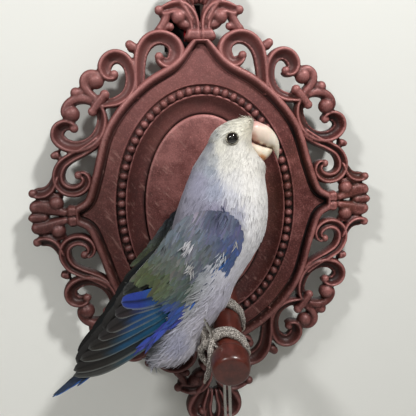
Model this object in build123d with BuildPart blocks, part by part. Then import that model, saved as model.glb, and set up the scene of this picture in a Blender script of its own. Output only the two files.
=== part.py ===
from build123d import *

import os
from math import atan2, cos, degrees, radians, sin

# A lovebird mounted on a turned peg in front of an openwork oval wall plaque.
# Row frame, millimetres: X to the right, Z up, Y into the wall. The wall is the plane Y = 0 and the origin is the
# middle of the backing board's rear face. "Depth" is the distance out from the wall, so a depth d lies at Y = -d.

# ---------------------------------------------------------------- plaque, overall
plaque_width = 190.6            # side finial to side finial
plaque_height = 260.0           # crest tip to pendant tip
drawn_half_width = 95.3         # the ornament below is drawn at this half width ...
drawn_half_height = 130.0       # ... and this half height, then stretched to the plaque's own

# ---------------------------------------------------------------- plaque, depths from the wall
board_thickness = 4.0
hollow_depth = 8.0              # floor of the hollow behind the medallion
seat_depth = 10.0               # floor of the pocket that the oval panel sits in
cove_foot_depth = 11.0          # lower edge of the cove, round the panel
field_depth = 15.0              # flat grained field of the medallion
relief_depth = 18.0             # front of the scrollwork
scroll_thickness = 8.0          # front to back of the scrollwork, which stands clear of the wall
moulding_height = 3.2           # ogee moulding above the field
moulding_width = 5.0
moulding_bevel = 1.4

# ---------------------------------------------------------------- medallion and back
rim_width = 4.0                 # rim round the backing board, from the moulding's ridge
ledge_width = 3.0               # ledge that the board's edge rests on
board_gap = 0.3                 # board to rim
bead_oval = (46.1, 63.3)        # half axes of the line through the beads
bead_radius = 1.9
bead_count = 70
bead_strip_width = 3.2
bead_strip_thickness = 1.0
bead_strip_gap = 0.1
cove_oval = (43.0, 60.0)        # half axes of the cove's upper edge
panel_oval = (33.5, 51.0)       # half axes of the panel's pocket
panel_gap = 0.2
panel_edge = 2.0                # straight edge of the panel
panel_crown = 2.6               # rise of its domed face
board_screw_places = (33.0, 45.0)
board_screw_radius = 1.5
board_screw_head_radius = 3.0
board_screw_head_height = 1.6
board_screw_length = 11.0
thread_fit = 0.05               # screw to its hole in the same body

# ---------------------------------------------------------------- hanger
hanger_height = 58.0            # hinge line of the ring above the centre
hanger_window = (20.0, 28.0)    # window in the board, about the hinge line
strap_size = (8.0, 11.0)
strap_thickness = 0.8
ring_wire_radius = 0.8
ring_half_width = 7.0           # centre line
ring_drop = 11.0                # centre line
ring_corner_radius = 5.0
ring_pivot_clearance = 0.05
barrel_wall = 0.8
ring_to_strap = 1.2             # ring wire to the strap's face
strap_screw_radius = 1.3
strap_screw_head_radius = 2.2
strap_screw_head_height = 0.7
strap_screw_length = 3.8        # under its head
strap_screw_drop = 4.5          # below the hinge line

# ---------------------------------------------------------------- foam pad behind the crest
pad_size = (19.0, 22.0)
pad_centre = (-8.5, 96.0)
liner_size = (2.5, 12.0)
liner_centre = (-6.8, 95.0)
liner_thickness = 0.4

# ---------------------------------------------------------------- perch peg
peg_root = (8.2, -43.0)         # where the peg's axis leaves the panel's pocket floor
peg_swing = -0.125              # sideways travel per millimetre of reach
peg_fall = -0.30                # downward travel per millimetre of reach
peg_radius = 7.0
peg_tenon_radius = 4.5
peg_tenon_gap = 0.1
knob_radius = 9.15
knob_face_radius = 7.0
knob_back_reach = 60.0          # reaches are depths from the pocket floor, along the wall's normal
knob_front_reach = 70.0
knob_round = 2.1
peg_screw_radius = 1.6
peg_screw_length = 12.0         # under its head
peg_screw_head_radius = 3.2
peg_screw_head_height = 2.0
peg_washer_radius = 5.0
peg_washer_thickness = 0.8

# ---------------------------------------------------------------- bird
bird_depth = 54.0               # middle plane of the bird
body_lean = 15.0                # lean of the body's cross sections, degrees
# centre x, centre z, half thickness, half depth, from the neck down to the vent
body_sections = (
    (7.6, 29.0, 13.6, 11.2),
    (4.5, 12.0, 19.5, 17.0),
    (0.0, -4.0, 21.5, 19.5),
    (-7.5, -19.0, 21.5, 19.5),
    (-16.0, -34.0, 19.5, 17.0),
    (-22.5, -49.0, 15.5, 13.0),
    (-26.5, -62.0, 10.0, 8.0),
    (-28.0, -71.0, 4.0, 3.5),
)
skin_thickness = 2.0
skin_gap = 0.2                  # skin to the form and the skull inside it
head_centre = (6.8, 36.0)
# the same, from the neck up to the crown
head_sections = (
    body_sections[0],
    (*head_centre, 12.0, 10.8),
    (8.1, 40.8, 10.9, 9.8),
    (9.1, 44.7, 7.9, 7.1),
    (9.8, 47.2, 3.6, 3.3),
)
skull_radius = 6.6
skull_half_depth = 7.2
eye_centre = (5.8, 38.6)
eye_radius = 2.6
eye_offset = 8.8                # eye centres to the bird's middle plane
eye_gap = 0.05
upper_bill_half_width = 4.2
lower_bill_half_width = 3.4
upper_bill_outline = (
    (17.2, 46.0), (22.0, 45.2), (26.0, 42.3), (28.4, 37.5), (29.3, 33.0), (28.9, 28.4),
    (27.6, 31.5), (25.5, 33.9), (22.5, 34.4), (18.5, 36.2), (15.0, 37.8), (16.0, 42.0),
)
lower_bill_outline = ((15.2, 37.0), (18.5, 35.6), (22.4, 33.8), (24.6, 32.2), (22.5, 29.0), (19.3, 27.6), (16.3, 31.0))

wing_outline = (
    (7.0, 4.0), (9.0, -8.0), (4.0, -22.0), (-16.0, -40.0), (-40.0, -56.0), (-68.0, -66.0),
    (-70.0, -61.0), (-52.0, -42.0), (-45.0, -28.0), (-28.0, -8.0), (-19.0, 3.0), (-6.0, 8.0),
)
wing_shoulder_offset = 23.5     # wing's outer face to the bird's middle plane, at the shoulder ...
wing_tip_offset = 7.5           # ... and at the tip
wing_thickness = 5.0
wing_clear_of_middle = 2.0
tail_start = (-36.0, -40.7)
tail_end = (-82.2, -79.1)
tail_half_width = 8.0
tail_tip_half_width = 2.5
tail_thickness = 3.2

# ---------------------------------------------------------------- legs, feet and wires
foot_reaches = {"left": 32.0, "right": 55.0}    # along the peg, from the pocket floor
ankle_angle = 139.5             # round the peg, degrees from +X towards +Z
ankle_radius = 2.5
toe_radius = 1.3
toe_spread = 2.3                # toes to the foot's middle, along the peg
toe_ends = (-10.0, 215.0)       # where the toes end round the peg, degrees
toe_gap = 0.05                  # toes to the peg
claw_length = 4.0
claw_tip_radius = 0.2
leg_radius = 1.9
leg_length = 12.0
leg_wire_radius = 0.75
leg_wire_gap = 0.05
leg_wire_exits = {"left": 2.1, "right": 0.9}    # x of the straight ends below the peg
leg_wire_below_peg = 3.2        # the bend, below the peg's underside
leg_wire_bend_radius = 3.0
leg_wire_end = -115.0           # lower end
leg_wire_anchor = 20.0          # length above the ankle, inside the body
core_wire_radius = 0.8
core_wire_gap = 0.05
neck_wire_ends = ((7.4, 34.0), (2.5, 6.0))
tail_wire_ends = ((-24.0, -30.0), (-66.0, -65.6))

stretch_x = plaque_width / 2 / drawn_half_width
stretch_z = plaque_height / 2 / drawn_half_height

# Ridge of the ogee moulding, one quarter, from the crest's collar to the side collar.
ogee_ridge = ((3.0, 88.0), (13.0, 76.5), (28.0, 67.5), (41.0, 56.0), (51.0, 41.5), (57.5, 21.0), (62.5, 7.5), (69.0, 2.8))

ogee_steps = 12                 # stations along the ridge when it is offset
ogee_cusp = 1.0                 # least distance of an offset outline's cusps from the centre lines

# Centre lines of the scrollwork strokes of one quarter: (width, points).
quarter_strokes = (
    (5.0, ((33.0, 64.0), (32.5, 77.0), (28.5, 88.5), (19.0, 92.0), (12.5, 86.5), (14.5, 79.5), (21.0, 80.0))),
    (4.6, ((54.0, 58.0), (46.5, 58.3), (38.5, 62.0), (35.5, 72.0), (39.5, 81.5), (48.0, 81.5), (50.5, 74.0), (46.5, 72.8))),
    (4.4, ((55.4, 70.0), (60.5, 71.0), (61.0, 65.0), (54.5, 58.0), (52.0, 52.0))),
    (4.4, ((68.8, 53.3), (69.5, 58.5), (63.0, 60.3), (56.5, 58.5))),
    (4.8, ((53.0, 54.0), (53.5, 45.0), (60.0, 36.5), (70.0, 34.8), (77.0, 40.0), (75.0, 48.0), (67.5, 46.8))),
    (5.0, ((55.0, 37.0), (66.0, 32.3), (77.0, 26.0), (79.0, 17.0), (72.0, 12.6), (63.5, 14.5), (62.5, 21.5), (67.5, 21.0))),
    (4.4, ((70.0, 33.4), (79.0, 32.5))),
)
quarter_balls = (
    (22.0, 80.6, 2.4), (38.0, 86.0, 2.6), (46.0, 72.6, 2.3), (55.4, 70.0, 3.8), (65.0, 63.2, 2.9), (51.3, 61.7, 2.2),
    (57.5, 54.2, 2.4), (68.8, 53.3, 4.0), (66.9, 46.0, 2.4), (79.5, 32.5, 2.4), (68.0, 20.9, 2.3), (60.5, 17.0, 3.0),
)
# Upper half of the right-hand side finial.
finial_strokes = (
    (4.6, ((70.5, 0.0), (76.0, 3.0), (82.0, 5.0), (84.0, 13.0), (90.3, 11.2))),
    (5.0, ((80.0, 0.0), (88.0, 4.5), (91.0, 6.5))),
)
finial_balls = ((90.5, 11.5, 2.0), (79.5, 6.9, 3.5), (91.0, 3.2, 2.6))
# Right half of the crest.
crest_strokes = (
    (6.0, ((2.0, 90.0), (2.0, 98.0), (6.0, 107.0), (8.0, 118.0), (2.0, 127.5))),
    (5.0, ((4.0, 101.0), (12.0, 105.5), (19.5, 103.5))),
    (4.0, ((17.0, 103.0), (18.5, 97.5), (21.0, 93.0))),
    (5.0, ((8.0, 112.0), (13.5, 112.0), (13.5, 118.0), (8.0, 120.0))),
)
crest_balls = ((11.0, 100.5, 3.5), (20.5, 103.5, 2.2), (15.8, 95.5, 1.8))


def wall_plane(depth):
    """Sketch plane facing the room, at a depth from the wall. Its axes are the row's X and Z."""
    return Plane.XZ.offset(depth)


def place(x, z, depth):
    return Vector(x, -depth, z)


def on_plaque(x, z):
    return (x * stretch_x, z * stretch_z)


def plaque_oval(half_axes, grow=0.0):
    return (half_axes[0] * stretch_x + grow, half_axes[1] * stretch_z + grow)


def rod(start, end, radius):
    """Straight round bar between two points."""
    along = end - start
    with BuildPart() as bar:
        with BuildSketch(Plane(origin=start, z_dir=along)):
            Circle(radius)
        extrude(amount=along.length)
    return bar.part


def spheroid(x, z, depth, side_radius, half_depth):
    """Ellipsoid that is round when seen from the side and half_depth deep each way."""
    with BuildPart() as ball:
        Sphere(1.0)
        scale(by=(side_radius, half_depth, side_radius))
    return Location(place(x, z, depth)) * ball.part


def finish(part, node):
    part.label = node
    export_step(part, f"parts/{node}.step")


def scrollwork(strokes, balls, mirrored="none"):
    """Casting of a piece of scrollwork, optionally joined with its mirror image in x or z."""
    signs = {"none": ((1, 1),), "x": ((1, 1), (-1, 1)), "z": ((1, 1), (1, -1))}[mirrored]
    with BuildPart() as casting:
        with BuildSketch(wall_plane(relief_depth - scroll_thickness)):
            for sign_x, sign_z in signs:
                for width, points in strokes:
                    with BuildLine() as centre_line:
                        Spline([on_plaque(sign_x * x, sign_z * z) for x, z in points])
                    trace(centre_line.line, line_width=width)
                for x, z, radius in balls:
                    with Locations(on_plaque(sign_x * x, sign_z * z)):
                        Circle(radius)
        extrude(amount=scroll_thickness)
    return casting.part


ridge_line = Spline([on_plaque(x, z) for x, z in ogee_ridge])


def medallion_outline(grow, mode=Mode.ADD):
    """Draws the ogee outline in the current sketch, grown or shrunk from the moulding's ridge."""
    quarter = []
    for step in range(ogee_steps + 1):
        point, tangent = ridge_line @ (step / ogee_steps), ridge_line % (step / ogee_steps)
        x, z = point.X - grow * tangent.Y, point.Y + grow * tangent.X
        if min(x, z) > ogee_cusp:
            quarter.append((x, z))
    (top_x, top_z), (side_x, side_z) = quarter[0], quarter[-1]
    with BuildLine() as outline:
        for sign_x, sign_z in ((1, 1), (-1, 1), (-1, -1), (1, -1)):
            Spline([(sign_x * x, sign_z * z) for x, z in quarter])
        for sign in (1, -1):
            Line((-top_x, sign * top_z), (top_x, sign * top_z))
            Line((sign * side_x, -side_z), (sign * side_x, side_z))
    make_face(outline.edges(), mode=mode)


def bird_plane(x, z, shift=0.0):
    """Cross-section plane of the bird's neck and body, facing down its length."""
    lean = Vector(-sin(radians(body_lean)), 0, -cos(radians(body_lean)))
    return Plane(origin=place(x, z, bird_depth) + lean * shift, x_dir=(0, -1, 0), z_dir=lean)


def rounded_body(sections, shrink=0.0):
    """Solid through oval cross sections, shrunk all round."""
    with BuildPart() as body:
        for index, (x, z, half_thickness, half_depth) in enumerate(sections):
            shift = shrink * ((index == 0) - (index == len(sections) - 1))
            with BuildSketch(bird_plane(x, z, shift)):
                Ellipse(half_depth - shrink, half_thickness - shrink)
        loft()
    return body.part


def bird_rod(ends, radius):
    (start_x, start_z), (end_x, end_z) = ends
    return rod(place(start_x, start_z, bird_depth), place(end_x, end_z, bird_depth), radius)


peg_direction = Vector(peg_swing, -1, peg_fall)


def peg_point(reach):
    """Point on the peg's axis, at a distance from the pocket floor along the wall's normal."""
    return place(*peg_root, seat_depth) + peg_direction * reach


def peg_plane(reach):
    return Plane(origin=peg_point(reach), x_dir=(1, 0, 0), z_dir=peg_direction)


os.makedirs("parts", exist_ok=True)

# ---------------------------------------------------------------- oval panel, before its bore
with BuildPart() as panel_blank:
    with BuildSketch(wall_plane(seat_depth)):
        Ellipse(*plaque_oval(panel_oval, -panel_gap))
    extrude(amount=panel_edge)
    with BuildSketch(wall_plane(seat_depth + panel_edge)):
        Ellipse(*plaque_oval(panel_oval, -panel_gap))
    with BuildSketch(wall_plane(seat_depth + panel_edge + 0.6 * panel_crown)):
        Ellipse(*plaque_oval(panel_oval, -panel_gap - 2.0 * panel_crown))
    loft()
    with BuildSketch(wall_plane(seat_depth + panel_edge + 0.6 * panel_crown)):
        Ellipse(*plaque_oval(panel_oval, -panel_gap - 2.0 * panel_crown))
    with BuildSketch(wall_plane(seat_depth + panel_edge + panel_crown)):
        Ellipse(*plaque_oval(panel_oval, -panel_gap - 6.0 * panel_crown))
    loft()

peg_bore = rod(peg_point(-hollow_depth), peg_point(hollow_depth + panel_crown), peg_tenon_radius + peg_tenon_gap)

with BuildPart() as oval_panel:
    add(panel_blank.part)
    add(peg_bore, mode=Mode.SUBTRACT)
finish(oval_panel.part, "oval_panel")

# ---------------------------------------------------------------- medallion: rim, field, moulding, cove and pockets
board_screw_points = [on_plaque(sx * board_screw_places[0], sz * board_screw_places[1]) for sx in (1, -1) for sz in (1, -1)]

bevel_depth = field_depth + moulding_height - moulding_bevel

with BuildPart() as medallion:
    with BuildSketch(wall_plane(0)):
        medallion_outline(moulding_width / 2)
    extrude(amount=bevel_depth)
    with BuildSketch(wall_plane(bevel_depth)):
        medallion_outline(moulding_width / 2)
    with BuildSketch(wall_plane(bevel_depth + moulding_bevel)):
        medallion_outline(moulding_width / 2 - moulding_bevel)
    loft()
    with BuildSketch(wall_plane(field_depth)):
        medallion_outline(-moulding_width / 2)
    extrude(amount=moulding_height, mode=Mode.SUBTRACT)
    with BuildSketch(wall_plane(bevel_depth)):
        medallion_outline(-moulding_width / 2)
    with BuildSketch(wall_plane(bevel_depth + moulding_bevel)):
        medallion_outline(moulding_bevel - moulding_width / 2)
    loft(mode=Mode.SUBTRACT)
    with BuildSketch(wall_plane(0)):
        medallion_outline(-rim_width)
    extrude(amount=board_thickness, mode=Mode.SUBTRACT)
    with BuildSketch(wall_plane(0)):
        medallion_outline(-rim_width - ledge_width)
    extrude(amount=hollow_depth, mode=Mode.SUBTRACT)
    with BuildSketch(wall_plane(board_thickness)):
        with Locations(*board_screw_points):
            Circle(board_screw_head_radius + 1.0)
    extrude(amount=hollow_depth - board_thickness)
    with BuildSketch(wall_plane(0)):
        with Locations(*board_screw_points):
            Circle(board_screw_radius + thread_fit)
    extrude(amount=board_screw_length + thread_fit, mode=Mode.SUBTRACT)
    with BuildSketch(wall_plane(field_depth - bead_strip_thickness)):
        Ellipse(*plaque_oval(bead_oval, bead_strip_width / 2 + bead_strip_gap))
        Ellipse(*plaque_oval(bead_oval, -bead_strip_width / 2 - bead_strip_gap), mode=Mode.SUBTRACT)
    extrude(amount=bead_strip_thickness, mode=Mode.SUBTRACT)
    with BuildSketch(wall_plane(field_depth)):
        Ellipse(*plaque_oval(cove_oval))
    with BuildSketch(wall_plane(cove_foot_depth)):
        Ellipse(*plaque_oval(panel_oval))
    loft(mode=Mode.SUBTRACT)
    with BuildSketch(wall_plane(seat_depth)):
        Ellipse(*plaque_oval(panel_oval))
    extrude(amount=cove_foot_depth - seat_depth, mode=Mode.SUBTRACT)
    add(peg_bore, mode=Mode.SUBTRACT)
    with BuildSketch(wall_plane(hollow_depth)):
        with Locations((0, hanger_height - strap_screw_drop)):
            Circle(strap_screw_radius + thread_fit)
    extrude(amount=strap_screw_length - strap_thickness + thread_fit, mode=Mode.SUBTRACT)
finish(medallion.part, "medallion")

# ---------------------------------------------------------------- beading strip
bead_line = Wire.make_ellipse(*plaque_oval(bead_oval), plane=wall_plane(field_depth))
with BuildPart() as bead_ring:
    with Locations(*[bead_line.position_at(index / bead_count) for index in range(bead_count)]):
        Sphere(bead_radius)
    split(bisect_by=wall_plane(field_depth), keep=Keep.TOP)
    with BuildSketch(wall_plane(field_depth - bead_strip_thickness)):
        Ellipse(*plaque_oval(bead_oval, bead_strip_width / 2))
        Ellipse(*plaque_oval(bead_oval, -bead_strip_width / 2), mode=Mode.SUBTRACT)
    extrude(amount=bead_strip_thickness)
finish(bead_ring.part, "bead_ring")

# ---------------------------------------------------------------- scrollwork: four quarters, crest, pendant, finials
with BuildPart() as medallion_block:
    with BuildSketch(wall_plane(0)):
        medallion_outline(moulding_width / 2)
    extrude(amount=relief_depth + moulding_height)

quarter_casting = scrollwork(quarter_strokes, quarter_balls)
with BuildPart() as scroll_upper_right:
    add(quarter_casting)
    add(medallion_block.part, mode=Mode.SUBTRACT)
quarters = {"scroll_upper_right": scroll_upper_right.part}
quarters["scroll_upper_left"] = mirror(quarters["scroll_upper_right"], about=Plane.YZ)
for side in ("right", "left"):
    quarters[f"scroll_lower_{side}"] = mirror(quarters[f"scroll_upper_{side}"], about=Plane.XY)
for node, casting in quarters.items():
    finish(casting, node)

finial_casting = scrollwork(finial_strokes, finial_balls, mirrored="z")
with BuildPart() as side_finial:
    add(finial_casting)
    with BuildSketch(wall_plane(relief_depth - scroll_thickness)):
        collar_x, collar_z = on_plaque(71.5, 0.0)
        with Locations((collar_x, collar_z)):
            Rectangle(5.5, 10.0)
        bud_x, tip_x = on_plaque(87.0, 0.0)[0], plaque_width / 2
        with BuildLine():
            Polyline((bud_x, -4.0), (tip_x, 0), (bud_x, 4.0), close=True)
        make_face()
    extrude(amount=scroll_thickness)
    for neighbour in ("scroll_upper_right", "scroll_lower_right"):
        add(quarters[neighbour], mode=Mode.SUBTRACT)
    add(medallion_block.part, mode=Mode.SUBTRACT)
finish(side_finial.part, "side_finial_right")
finish(mirror(side_finial.part, about=Plane.YZ), "side_finial_left")

crest_casting = scrollwork(crest_strokes, crest_balls, mirrored="x")
with BuildPart() as crest:
    add(crest_casting)
    with BuildSketch(wall_plane(relief_depth - scroll_thickness)):
        collar_x, collar_z = on_plaque(0.0, 90.7)
        with Locations((collar_x, collar_z)):
            Rectangle(15.0, 5.4)
        shoulder_z, tip_z = on_plaque(0.0, 122.0)[1], plaque_height / 2
        with BuildLine():
            Polyline((-4.5, shoulder_z), (0, tip_z), (4.5, shoulder_z), close=True)
        make_face()
    extrude(amount=scroll_thickness)
    for neighbour in ("scroll_upper_right", "scroll_upper_left"):
        add(quarters[neighbour], mode=Mode.SUBTRACT)
    add(medallion_block.part, mode=Mode.SUBTRACT)
finish(crest.part, "crest")
finish(mirror(crest.part, about=Plane.XY), "pendant")


# ---------------------------------------------------------------- backing board and its screws
with BuildPart() as backing_board:
    with BuildSketch(wall_plane(0)):
        medallion_outline(-rim_width - board_gap)
        with Locations((0, hanger_height)):
            Rectangle(*hanger_window, mode=Mode.SUBTRACT)
        with Locations(*board_screw_points):
            Circle(board_screw_radius + thread_fit, mode=Mode.SUBTRACT)
    extrude(amount=board_thickness)
    with BuildSketch(wall_plane(0)):
        with Locations(*board_screw_points):
            Circle(board_screw_head_radius + thread_fit)
    extrude(amount=board_screw_head_height, mode=Mode.SUBTRACT)
finish(backing_board.part, "backing_board")

with BuildPart() as backing_screws:
    with BuildSketch(wall_plane(0)):
        with Locations(*board_screw_points):
            Circle(board_screw_head_radius)
    extrude(amount=board_screw_head_height)
    with BuildSketch(wall_plane(0)):
        with Locations(*board_screw_points):
            Circle(board_screw_radius)
    extrude(amount=board_screw_length)
finish(backing_screws.part, "backing_screws")

# ---------------------------------------------------------------- hanger strap, its screw and its ring
strap_face_depth = hollow_depth - strap_thickness
pivot_depth = strap_face_depth - ring_to_strap - ring_wire_radius
pivot_bore = ring_wire_radius + ring_pivot_clearance
barrel_radius = pivot_bore + barrel_wall
pivot = place(0, hanger_height, pivot_depth)

with BuildPart() as hanger_strap:
    with BuildSketch(wall_plane(strap_face_depth)):
        with Locations((0, hanger_height + barrel_radius - strap_size[1] / 2)):
            Rectangle(*strap_size)
        with Locations((0, hanger_height - strap_screw_drop)):
            Circle(strap_screw_radius + thread_fit, mode=Mode.SUBTRACT)
    extrude(amount=strap_thickness)
    with BuildSketch(wall_plane(pivot_depth)):
        with Locations((0, hanger_height)):
            Rectangle(strap_size[0], 2 * barrel_radius)
    extrude(amount=strap_face_depth - pivot_depth)
    with BuildSketch(Plane(origin=pivot, z_dir=(1, 0, 0))):
        Circle(barrel_radius)
    extrude(amount=strap_size[0] / 2, both=True)
    with BuildSketch(Plane(origin=pivot, z_dir=(1, 0, 0))):
        Circle(pivot_bore)
    extrude(amount=strap_size[0], both=True, mode=Mode.SUBTRACT)
finish(hanger_strap.part, "hanger_strap")

with BuildPart() as strap_screw:
    with BuildSketch(wall_plane(strap_face_depth - strap_screw_head_height)):
        with Locations((0, hanger_height - strap_screw_drop)):
            Circle(strap_screw_head_radius)
    extrude(amount=strap_screw_head_height)
    with BuildSketch(wall_plane(strap_face_depth)):
        with Locations((0, hanger_height - strap_screw_drop)):
            Circle(strap_screw_radius)
    extrude(amount=strap_screw_length)
finish(strap_screw.part, "strap_screw")

with BuildPart() as hanger_ring:
    with BuildLine() as ring_line:
        FilletPolyline(
            place(-ring_half_width, hanger_height, pivot_depth),
            place(-ring_half_width, hanger_height - ring_drop, pivot_depth),
            place(ring_half_width, hanger_height - ring_drop, pivot_depth),
            place(ring_half_width, hanger_height, pivot_depth),
            radius=ring_corner_radius,
        )
    with BuildSketch(Plane(origin=place(-ring_half_width, hanger_height, pivot_depth), z_dir=(0, 0, -1))):
        Circle(ring_wire_radius)
    sweep()
    with BuildSketch(Plane(origin=pivot, z_dir=(1, 0, 0))):
        Circle(ring_wire_radius)
    extrude(amount=ring_half_width + ring_wire_radius, both=True)
finish(hanger_ring.part, "hanger_ring")

# ---------------------------------------------------------------- foam pad and its liner
with BuildPart() as pad_liner:
    with BuildSketch(wall_plane(relief_depth - scroll_thickness - liner_thickness)):
        with Locations(on_plaque(*liner_centre)):
            Rectangle(*liner_size)
    extrude(amount=liner_thickness)
finish(pad_liner.part, "pad_liner")

with BuildPart() as foam_pad:
    with BuildSketch(wall_plane(0)):
        with Locations(on_plaque(*pad_centre)):
            Rectangle(*pad_size)
    extrude(amount=relief_depth - scroll_thickness)
    add(pad_liner.part, mode=Mode.SUBTRACT)
    add(medallion.part, mode=Mode.SUBTRACT)
finish(foam_pad.part, "foam_pad")

# ---------------------------------------------------------------- leg wires: anchor in the body, ankle, bend, end
wire_routes = {}
for side, reach in foot_reaches.items():
    foot = peg_plane(reach)
    ankle_reach = peg_radius + toe_gap + ankle_radius
    angle = radians(ankle_angle)
    ankle = foot.origin + (foot.x_dir * cos(angle) + foot.y_dir * sin(angle)) * ankle_reach
    bend_z = foot.origin.Z - peg_radius / cos(atan2(-peg_fall, 1)) - leg_wire_below_peg
    bend = Vector(leg_wire_exits[side], foot.origin.Y, bend_z)
    anchor = ankle + (ankle - bend).normalized() * leg_wire_anchor
    wire_routes[side] = (anchor, ankle, bend, Vector(bend.X, bend.Y, leg_wire_end))

wire_bores = {
    side: rod(anchor, bend, leg_wire_radius + leg_wire_gap) for side, (anchor, ankle, bend, end) in wire_routes.items()
}

# ---------------------------------------------------------------- peg, its screw and washer
peg_stretch = peg_direction.length
with BuildPart() as perch_peg:
    with BuildSketch(peg_plane(0)):
        Circle(peg_radius)
    extrude(amount=knob_back_reach * peg_stretch)
    with BuildSketch(peg_plane(knob_back_reach)):
        Circle(knob_radius)
    extrude(amount=(knob_front_reach - knob_back_reach) * peg_stretch)
    knob_front = edges().filter_by(GeomType.CIRCLE).sort_by(Axis.Y)[0]
    chamfer(knob_front, knob_round)
    add(panel_blank.part, mode=Mode.SUBTRACT)
    with BuildSketch(wall_plane(0)):
        Rectangle(plaque_width, plaque_height)
    extrude(amount=seat_depth + panel_edge, mode=Mode.SUBTRACT)
    with BuildSketch(peg_plane(-hollow_depth)):
        Circle(peg_tenon_radius)
    extrude(amount=2 * hollow_depth * peg_stretch)
    with BuildSketch(wall_plane(0)):
        Rectangle(plaque_width, plaque_height)
    extrude(amount=hollow_depth, mode=Mode.SUBTRACT)
    with BuildSketch(wall_plane(hollow_depth)):
        with Locations(peg_root):
            Circle(peg_screw_radius + thread_fit)
    extrude(amount=peg_screw_length - peg_washer_thickness + thread_fit, mode=Mode.SUBTRACT)
    for bore in wire_bores.values():
        add(bore, mode=Mode.SUBTRACT)
finish(perch_peg.part, "perch_peg")

with BuildPart() as peg_washer:
    with BuildSketch(wall_plane(hollow_depth - peg_washer_thickness)):
        with Locations(peg_root):
            Circle(peg_washer_radius)
            Circle(peg_screw_radius + thread_fit, mode=Mode.SUBTRACT)
    extrude(amount=peg_washer_thickness)
finish(peg_washer.part, "peg_washer")

washer_face_depth = hollow_depth - peg_washer_thickness
with BuildPart() as peg_screw:
    with BuildSketch(wall_plane(washer_face_depth - peg_screw_head_height)):
        with Locations(peg_root):
            Circle(peg_screw_head_radius)
    extrude(amount=peg_screw_head_height)
    with BuildSketch(wall_plane(washer_face_depth)):
        with Locations(peg_root):
            Circle(peg_screw_radius)
    extrude(amount=peg_screw_length)
finish(peg_screw.part, "peg_screw")

# ---------------------------------------------------------------- bird: body, form and core wires
wire_clearance = core_wire_radius + core_wire_gap
body_outside = rounded_body(body_sections)
body_inside = rounded_body(body_sections, skin_thickness)
core_bores = [bird_rod(neck_wire_ends, wire_clearance), bird_rod(tail_wire_ends, wire_clearance)]

with BuildPart() as body_skin:
    add(body_outside)
    add(body_inside, mode=Mode.SUBTRACT)
    for bore in (*core_bores, *wire_bores.values()):
        add(bore, mode=Mode.SUBTRACT)
finish(body_skin.part, "body_skin")

with BuildPart() as body_form:
    add(rounded_body(body_sections, skin_thickness + skin_gap))
    for bore in (*core_bores, *wire_bores.values()):
        add(bore, mode=Mode.SUBTRACT)
finish(body_form.part, "body_form")

finish(bird_rod(neck_wire_ends, core_wire_radius), "neck_wire")
finish(bird_rod(tail_wire_ends, core_wire_radius), "tail_wire")

# ---------------------------------------------------------------- bird: bill, eyes, skull and head
bills = {}
for node, outline, half_width in (
    ("upper_bill", upper_bill_outline, upper_bill_half_width),
    ("lower_bill", lower_bill_outline, lower_bill_half_width),
):
    with BuildPart() as bill:
        with BuildSketch(wall_plane(bird_depth)):
            with BuildLine():
                Polyline(outline, close=True)
            make_face()
        extrude(amount=half_width, both=True)
    bills[node] = bill.part
    finish(bill.part, node)

eyes = {}
for node, side in (("eye_right", 1), ("eye_left", -1)):
    with BuildPart() as eye:
        with Locations(place(*eye_centre, bird_depth + side * eye_offset)):
            Sphere(eye_radius)
    eyes[node] = eye.part
    finish(eye.part, node)

sockets = []
for side in (1, -1):
    with BuildPart() as socket:
        with Locations(place(*eye_centre, bird_depth + side * eye_offset)):
            Sphere(eye_radius + eye_gap)
    sockets.append(socket.part)

with BuildPart() as skull:
    add(spheroid(*head_centre, bird_depth, skull_radius, skull_half_depth))
    for cut in (*sockets, *bills.values(), core_bores[0]):
        add(cut, mode=Mode.SUBTRACT)
finish(skull.part, "skull")

skull_space = spheroid(*head_centre, bird_depth, skull_radius + skin_gap, skull_half_depth + skin_gap)
with BuildPart() as head_skin:
    add(rounded_body(head_sections))
    for cut in (skull_space, *sockets, *bills.values(), core_bores[0]):
        add(cut, mode=Mode.SUBTRACT)
finish(head_skin.part, "head_skin")

# ---------------------------------------------------------------- bird: wings and tail
shoulder_x, tip_x = max(x for x, _ in wing_outline), min(x for x, _ in wing_outline)
wing_slope = (wing_shoulder_offset - wing_tip_offset) / (shoulder_x - tip_x)


def wing_face(inset):
    """Plane of the right wing's outer face, or parallel to it and nearer the body."""
    shoulder = place(shoulder_x, 0, bird_depth + wing_shoulder_offset - inset)
    return Plane(origin=shoulder, x_dir=(0, 0, 1), z_dir=(-wing_slope, -1, 0))


with BuildPart() as wing_right:
    with BuildSketch(wall_plane(bird_depth + wing_clear_of_middle)):
        with BuildLine():
            Spline(wing_outline, periodic=True)
        make_face()
    extrude(amount=wing_shoulder_offset)
    split(bisect_by=wing_face(0), keep=Keep.BOTTOM)
    split(bisect_by=wing_face(wing_thickness), keep=Keep.TOP)
    add(body_outside, mode=Mode.SUBTRACT)
    for route in wire_bores.values():
        add(route, mode=Mode.SUBTRACT)
finish(wing_right.part, "wing_right")
wing_left = mirror(wing_right.part, about=wall_plane(bird_depth))
finish(wing_left, "wing_left")

tail_base, tail_point = place(*tail_start, bird_depth), place(*tail_end, bird_depth)
tail_run = tail_point - tail_base
tail_plane = Plane(origin=tail_base, x_dir=tail_run, z_dir=tail_run.cross(Vector(0, 1, 0)))
with BuildPart() as tail_feathers:
    with BuildSketch(tail_plane):
        with BuildLine():
            Polyline(
                (0, -tail_half_width), (tail_run.length, -tail_tip_half_width),
                (tail_run.length, tail_tip_half_width), (0, tail_half_width), close=True,
            )
        make_face()
    extrude(amount=tail_thickness / 2, both=True)
    for cut in (body_outside, wing_right.part, wing_left, core_bores[1]):
        add(cut, mode=Mode.SUBTRACT)
finish(tail_feathers.part, "tail_feathers")

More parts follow.
